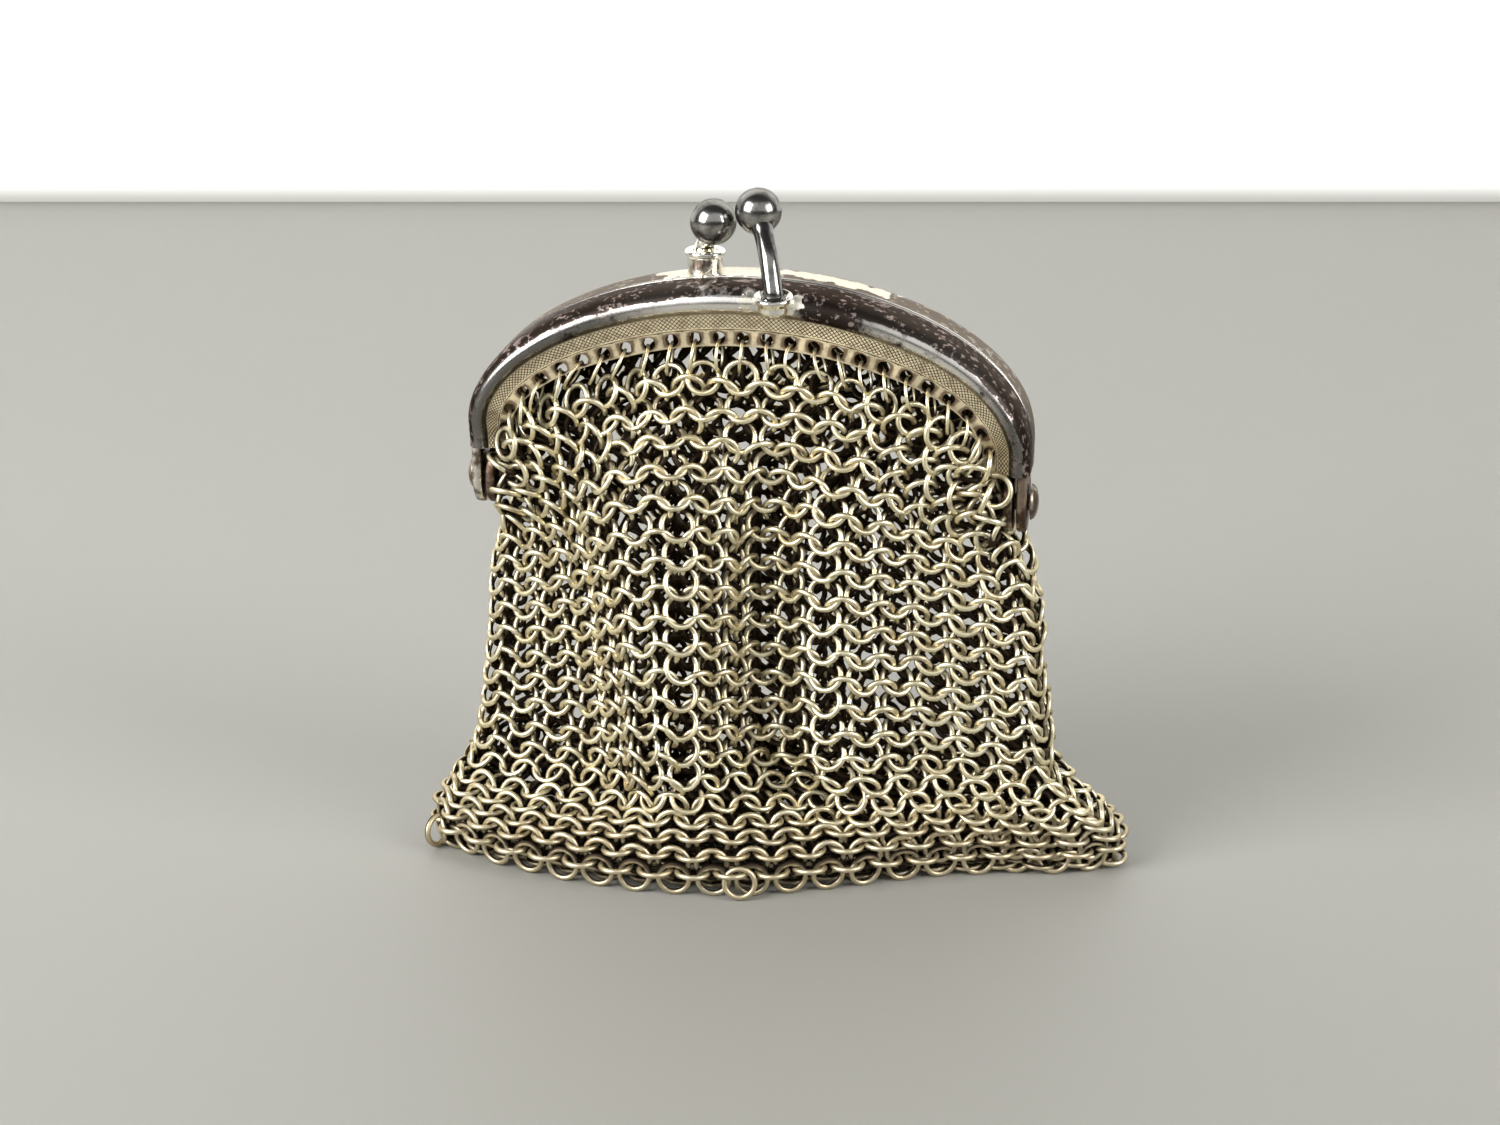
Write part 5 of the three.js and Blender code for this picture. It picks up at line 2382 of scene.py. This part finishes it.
        # Painted shade at the foot: the rings darken towards the hem, mixed into the rubbing value.
        painted_foot_shade = self.foot_shade * self.foot_shade_fade.at(rows - self.form.wall_rows)
        rub_and_foot_shade = np.maximum(rub_and_foot_shade, painted_foot_shade[:, None, None])
        outwards = rings.outwards[pick]
        # Painted shade: the sides of the wire that face into the purse, and wire behind the ring's middle,
        # are darkened by the finish.
        inward = 0.5 - 0.5 * np.einsum("nswi,ni->nsw", wire, outwards)
        set_back = -size[:, None] * np.einsum("nsi,ni->ns", radial, outwards)
        hidden = np.where((rows > 0) & (rows < self.form.wall_rows - 1), 1.0, self.edge_shade)[:, None]
        shown = np.where(rows % 2 == 0, self.shown_depth, 0.0)[:, None]
        inward = inward + (hidden * self.shade_depth.at(set_back - shown))[:, :, None]
        return Shell(points, [faces], {"tint": tint, "rub_and_foot_shade": rub_and_foot_shade.ravel(), "inward": inward.ravel()})

    def _rubbing(self, touches: Array, turn: Array, wire_turn: Array) -> Array:
        """How much the rings are rubbed by others.

        Args:
            touches: Four angles for each ring at which others rub on it.
            turn: The angles of a ring's points round it.
            wire_turn: The angles of its points round its wire.

        Returns:
            The rubbing at each point of each ring, strongest on the inner side of its wire.
        """
        off = turn[None, :, None] - touches[:, None, :]
        off = np.abs((off + math.pi) % (2 * math.pi) - math.pi)
        rubbed = np.exp(-((off / self.rub_reach) ** 2)).max(-1)
        inner = self.rub_outside + (1 - self.rub_outside) * np.clip(-np.cos(wire_turn), 0, 1)
        return rubbed[:, :, None] * inner[None, None, :]

    def bake_map(self, piece: bpy.types.Object, count: int) -> None:
        """Gives each ring of a piece its own tile of a UV map.

        Args:
            piece: The piece.
            count: How many rings it has.
        """
        tiles = math.ceil(math.sqrt(count))
        s, w = np.meshgrid(np.arange(self.ring_sides), np.arange(self.wire_sides), indexing="ij")
        inside = 1 - 2 * self.tile_margin
        u = self.tile_margin + inside * (s[..., None] + np.array([0, 0, 1, 1])) / self.ring_sides
        v = self.tile_margin + inside * (w[..., None] + np.array([0, 1, 1, 0])) / self.wire_sides
        number = np.arange(count)[:, None, None, None]
        uv = np.stack([(number % tiles + u) / tiles, (number // tiles + v) / tiles], -1)
        layer = piece.data.uv_layers.new(name="OFBake")
        layer.data.foreach_set("uv", uv.ravel().astype(np.float32))

    def build(self, finish: Material) -> None:
        """Makes and dresses the mail, the rings that hang it and the loose rings.

        Args:
            finish: The rings' finish.
        """
        mail = self.place_rings()
        front = (mail.columns <= self.half) | (mail.rows == self.rows)
        bands = ("upper", "middle", "lower")
        band = np.minimum(len(bands) * mail.rows // self.rows, len(bands) - 1)
        parts = {}
        for name, rings in (("hanging_rings", self.hanging()), ("loose_rings", self.loose())):
            parts[name] = (rings, np.ones(len(rings.rows), bool))
        for number, height in enumerate(bands):
            parts["mail_front_" + height] = (mail, front & (band == number))
            parts["mail_back_" + height] = (mail, ~front & (band == number))
        for seed, (name, (rings, pick)) in enumerate(parts.items(), self.seed + 10):
            shell = self.shell(rings, pick, seed)
            piece = Stock.add(name, shell, finish, Slot.MAIL, "mail_pouch", crease=180)
            self.bake_map(piece, int(pick.sum()))


@dataclass(frozen=True)
class Window:
    """A soft light like a window.

    Attributes:
        name: The light's name.
        way: Where it is seen from the purse.
        size: Its width and height.
        power: Its power in watts.
        distance: How far it is from the point that it faces.
    """

    name: str
    way: tuple[float, float, float]
    size: tuple[float, float]
    power: float
    distance: float = 520.0

    def hang(self, aim: Vector) -> None:
        """Hangs the light, facing a point.

        Args:
            aim: The point.
        """
        place = aim + Vector(self.way).normalized() * self.distance
        data = bpy.data.lights.new(self.name, "AREA")
        data.shape = "RECTANGLE"
        data.size, data.size_y = (side * METRES for side in self.size)
        data.energy = self.power
        lamp = bpy.data.objects.new(self.name, data)
        lamp.location = place * METRES
        lamp.rotation_euler = (aim - place).to_track_quat("-Z", "Y").to_euler()
        bpy.context.scene.collection.objects.link(lamp)


@dataclass(frozen=True)
class Studio:
    """The pale floor and wall, the soft lights and the camera.

    Attributes:
        azimuth: How far the camera stands to the right of the purse's front, in degrees.
        elevation: How far it looks down, in degrees.
        distance: How far it stands from its target.
        target_height: The height of its target over the table.
        lens: Its focal length.
        sensor: The width of its sensor.
        clip: The nearest and furthest distance that it sees, in metres.
        wall_distance: How far behind the purse the wall stands, square to the camera.
        wall_foot: The height in which the floor's colour turns into the wall's, and the wall's painted shade
            at its foot into its full glow.
        stage_half: Half the width of the floor and the wall.
        floor_fade: How far before and behind the purse the floor's painted light changes, darker in front and
            lighter behind.
        shaded_near_floor: The floor's colour before the purse, darkened as painted shade.
        lit_far_floor: The floor's colour behind it, lightened as painted light.
        wall_foot_shade: The colour of the light that the wall gives off at its foot, dimmer than above as
            painted shade where the wall meets the floor.
        wall_colour: The wall's colour.
        wall_glow: The strength of the light that the wall gives off.
        stage_roughness: The roughness of the floor and the wall.
        floor_lines: How many lines the floor has where its colour changes.
        wall_lines: How many lines the wall has where its colour changes.
        room_colour: The colour of the even light of the room.
        room_light: The strength of that light.
        aim_height: The height over the table that the soft lights face.
        windows: The soft lights.
    """

    azimuth: float = 10.0
    elevation: float = 20.0
    distance: float = 330.0
    target_height: float = 33.0
    lens: float = 74.6
    sensor: float = 36.0
    clip: tuple[float, float] = (0.01, 20.0)
    wall_distance: float = 303.0
    wall_foot: float = 6.0
    stage_half: float = 1200.0
    floor_fade: float = 130.0
    shaded_near_floor: Colour = (0.262, 0.257, 0.231, 1)
    lit_far_floor: Colour = (0.318, 0.312, 0.285, 1)
    wall_foot_shade: Colour = (0.36, 0.36, 0.34, 1)
    wall_colour: Colour = (0.9, 0.9, 0.88, 1)
    wall_glow: float = 0.6
    stage_roughness: float = 0.6
    floor_lines: int = 9
    wall_lines: int = 7
    room_colour: Colour = (0.95, 0.97, 1.0, 1)
    room_light: float = 0.07
    aim_height: float = 50.0
    windows: tuple[Window, ...] = (
        Window("left_window", (-0.657, -0.594, 0.459), (300, 340), 4.2),
        Window("right_window", (0.864, -0.314, 0.393), (220, 230), 2.2),
        Window("front_fill", (0.2, -0.8, 0.6), (1400, 700), 2.0, 900.0),
    )

    def build(self) -> None:
        """Makes the floor, the wall, the lights and the camera."""
        self._stage()
        self._lights()
        self._camera()
        bpy.context.scene.view_settings.view_transform = "Standard"

    def _camera(self) -> None:
        """Stands the camera where the photograph was taken from."""
        turn, rise = math.radians(self.azimuth), math.radians(self.elevation)
        back = Vector((math.sin(turn) * math.cos(rise), -math.cos(turn) * math.cos(rise), math.sin(rise)))
        data = bpy.data.cameras.new("camera")
        data.lens = self.lens
        data.sensor_width = self.sensor
        camera = bpy.data.objects.new("camera", data)
        camera.location = Vector((0, 0, self.target_height * METRES)) + back * self.distance * METRES
        camera.rotation_euler = (-back).to_track_quat("-Z", "Y").to_euler()
        data.clip_start, data.clip_end = self.clip
        bpy.context.scene.collection.objects.link(camera)
        bpy.context.scene.camera = camera

    def _stage(self) -> None:
        """Lays the pale floor, painted darker in front and lighter behind as painted light, and stands the
        wall, which gives off light, behind it, square to the camera.
        """
        turn = math.radians(self.azimuth)
        right = np.array([math.cos(turn), math.sin(turn), 0])
        back = np.array([-math.sin(turn), math.cos(turn), 0])
        up = np.array([0, 0, 1.0])
        half, far, fade = self.stage_half, self.wall_distance, self.floor_fade
        sheets = {
            "floor": np.outer([-half, *np.linspace(-fade, fade, self.floor_lines), far], back),
            "wall": far * back + np.outer([*np.linspace(0, self.wall_foot, self.wall_lines), half], up),
        }
        for name, lines in sheets.items():
            points = np.concatenate([lines - half * right, lines + half * right])
            count = len(lines)
            number = np.arange(count - 1)
            faces = np.stack([number, number + count, number + count + 1, number + 1], -1)
            values = {
                "rise": Ease(0, self.wall_foot).at(points[:, 2]),
                "away": Ease(-fade, fade).at(points @ back),
            }
            sheet = Stock.mesh(name, Shell(points, [faces], values), crease=80)
            sheet.data.materials.append(self._stage_finish(name))

    def _stage_finish(self, name: str) -> Material:
        """The finish of the floor or the wall.

        Args:
            name: Which of them it is for, floor or wall.

        Returns:
            The material.
        """
        material, bench, principled = new_material("pale_" + name)
        risen = bench.value_at("rise")
        # Painted light on the floor: darker in front of the purse and lighter behind it.
        floor = bench.blend(bench.value_at("away"), self.shaded_near_floor, self.lit_far_floor)
        finish = {
            "Base Color": bench.blend(risen, floor, self.wall_colour),
            "Metallic": 0.0,
            "Roughness": self.stage_roughness,
        }
        if name == "wall":
            # Painted shade: the wall glows dimmer at its foot, where it meets the floor.
            finish["Emission Color"] = bench.blend(risen, self.wall_foot_shade, self.wall_colour)
            finish["Emission Strength"] = self.wall_glow
        bench.fill(principled, finish)
        return material

    def _lights(self) -> None:
        """Hangs the soft lights and sets the even light of the room."""
        world = bpy.data.worlds.new("room")
        world.use_nodes = True
        room = world.node_tree.nodes["Background"]
        room.inputs["Color"].default_value = self.room_colour
        room.inputs["Strength"].default_value = self.room_light
        bpy.context.scene.world = world
        for window in self.windows:
            window.hang(Vector((0, 0, self.aim_height)))


FRAME_SILVERS = {
    Side.FRONT: FrameSilver(
        "front_frame_silver", patches=(SolderPatch(0.4, 6.3, 4.8, 6.4), SolderPatch(1.4, 5.4, 6.0, 7.0))
    ),
    Side.BACK: FrameSilver(
        "back_frame_silver",
        patches=(SolderPatch(-9.5, 2.5, 0.3, 4.6), SolderPatch(1.5, 14.5, 1.3, 3.6)),
        stain=(0.20, 0.17, 0.14, 1),
        speck=(0.48, 0.43, 0.36, 1),
        crown_cover=0.8,
        shoulder_cover=0.5,
    ),
}

METALS = (
    # lit_hinge_silver and hinge_brown give the two front lugs a lit and a shaded look: partly painted
    # highlight and shade.
    StainedMetal("lit_hinge_silver", (0.72, 0.68, 0.61, 1), (0.14, 0.10, 0.07, 1), cover=0.4, roughness=0.22),
    StainedMetal("hinge_brown", (0.30, 0.23, 0.17, 1), (0.08, 0.05, 0.035, 1), cover=0.55, roughness=0.3),
    StainedMetal("collar_silver", (0.88, 0.85, 0.77, 1), (0.30, 0.26, 0.21, 1), cover=0.25, roughness=0.14),
    StainedMetal("ball_gunmetal", (0.36, 0.355, 0.33, 1), (0.21, 0.20, 0.19, 1), 0.45, 0.17, 0.1, edge=0.4),
    StainedMetal("arm_gunmetal", (0.31, 0.305, 0.29, 1), (0.16, 0.155, 0.15, 1), 0.4, 0.16, 0.1, edge=0.5),
    StainedMetal("rivet_brown", (0.42, 0.35, 0.28, 1), (0.10, 0.07, 0.05, 1), cover=0.5, roughness=0.28),
)

FRONT_CLASP = ClaspHalf(
    name="front",
    seat=(3.35, -5.3, 62.4),
    lean=0.14,
    collar=(
        (0.95, -0.75),
        (1.5, -0.3),
        (1.68, 0.0),
        (1.68, 0.55),
        (2.0, 1.05),
        (2.08, 1.3),
        (1.9, 1.55),
        (1.35, 1.15),
    ),
    floor=0.4,
    mouth=1.9,
    bow=(0.35, 0.9),
    flare=1.1,
    ball_centre=(0.95, -0.5, 71.3),
)

BACK_CLASP = ClaspHalf(
    name="back",
    seat=(-5.15, 2.5, 63.9),
    lean=0.0,
    collar=((1.85, -0.6), (1.85, 1.75), (2.12, 1.85), (2.12, 2.3), (1.9, 2.45)),
    floor=0.7,
    mouth=2.7,
    bow=(0.0, 0.0),
    flare=2.2,
    ball_centre=(-3.9, 0.5, 69.75),
)


def main() -> None:
    """Builds the purse and its studio."""
    logging.basicConfig(level=logging.INFO, format="%(message)s")
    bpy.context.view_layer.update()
    arch = Arch()
    holes = HoleRow(arch)
    silver = {side: finish.material() for side, finish in FRAME_SILVERS.items()}
    metal = {finish.name: finish.material() for finish in METALS}
    # The left front lug gets the bright silver finish and the right one the brown: partly painted highlight
    # and shade, as the left lug faces the left window.
    lit_and_shaded_front_lugs = (metal["lit_hinge_silver"], metal["hinge_brown"])
    back_lugs = (metal["hinge_brown"], metal["hinge_brown"])
    FrameHalf(Side.FRONT, arch, holes).build(silver[Side.FRONT], lit_and_shaded_front_lugs, "front_frame")
    FrameHalf(Side.BACK, arch, holes).build(silver[Side.BACK], back_lugs, "back_frame")
    FRONT_CLASP.build(metal["collar_silver"], metal["arm_gunmetal"], metal["ball_gunmetal"])
    BACK_CLASP.build(metal["collar_silver"], metal["collar_silver"], metal["ball_gunmetal"])
    for name, end in (("left_rivet", -1), ("right_rivet", 1)):
        HingeRivet(name, end).build(metal["rivet_brown"])
    MailPouch(PouchForm(arch, holes)).build(RingNickel("ring_nickel").material())
    Studio().build()


if __name__ == "__main__":
    main()
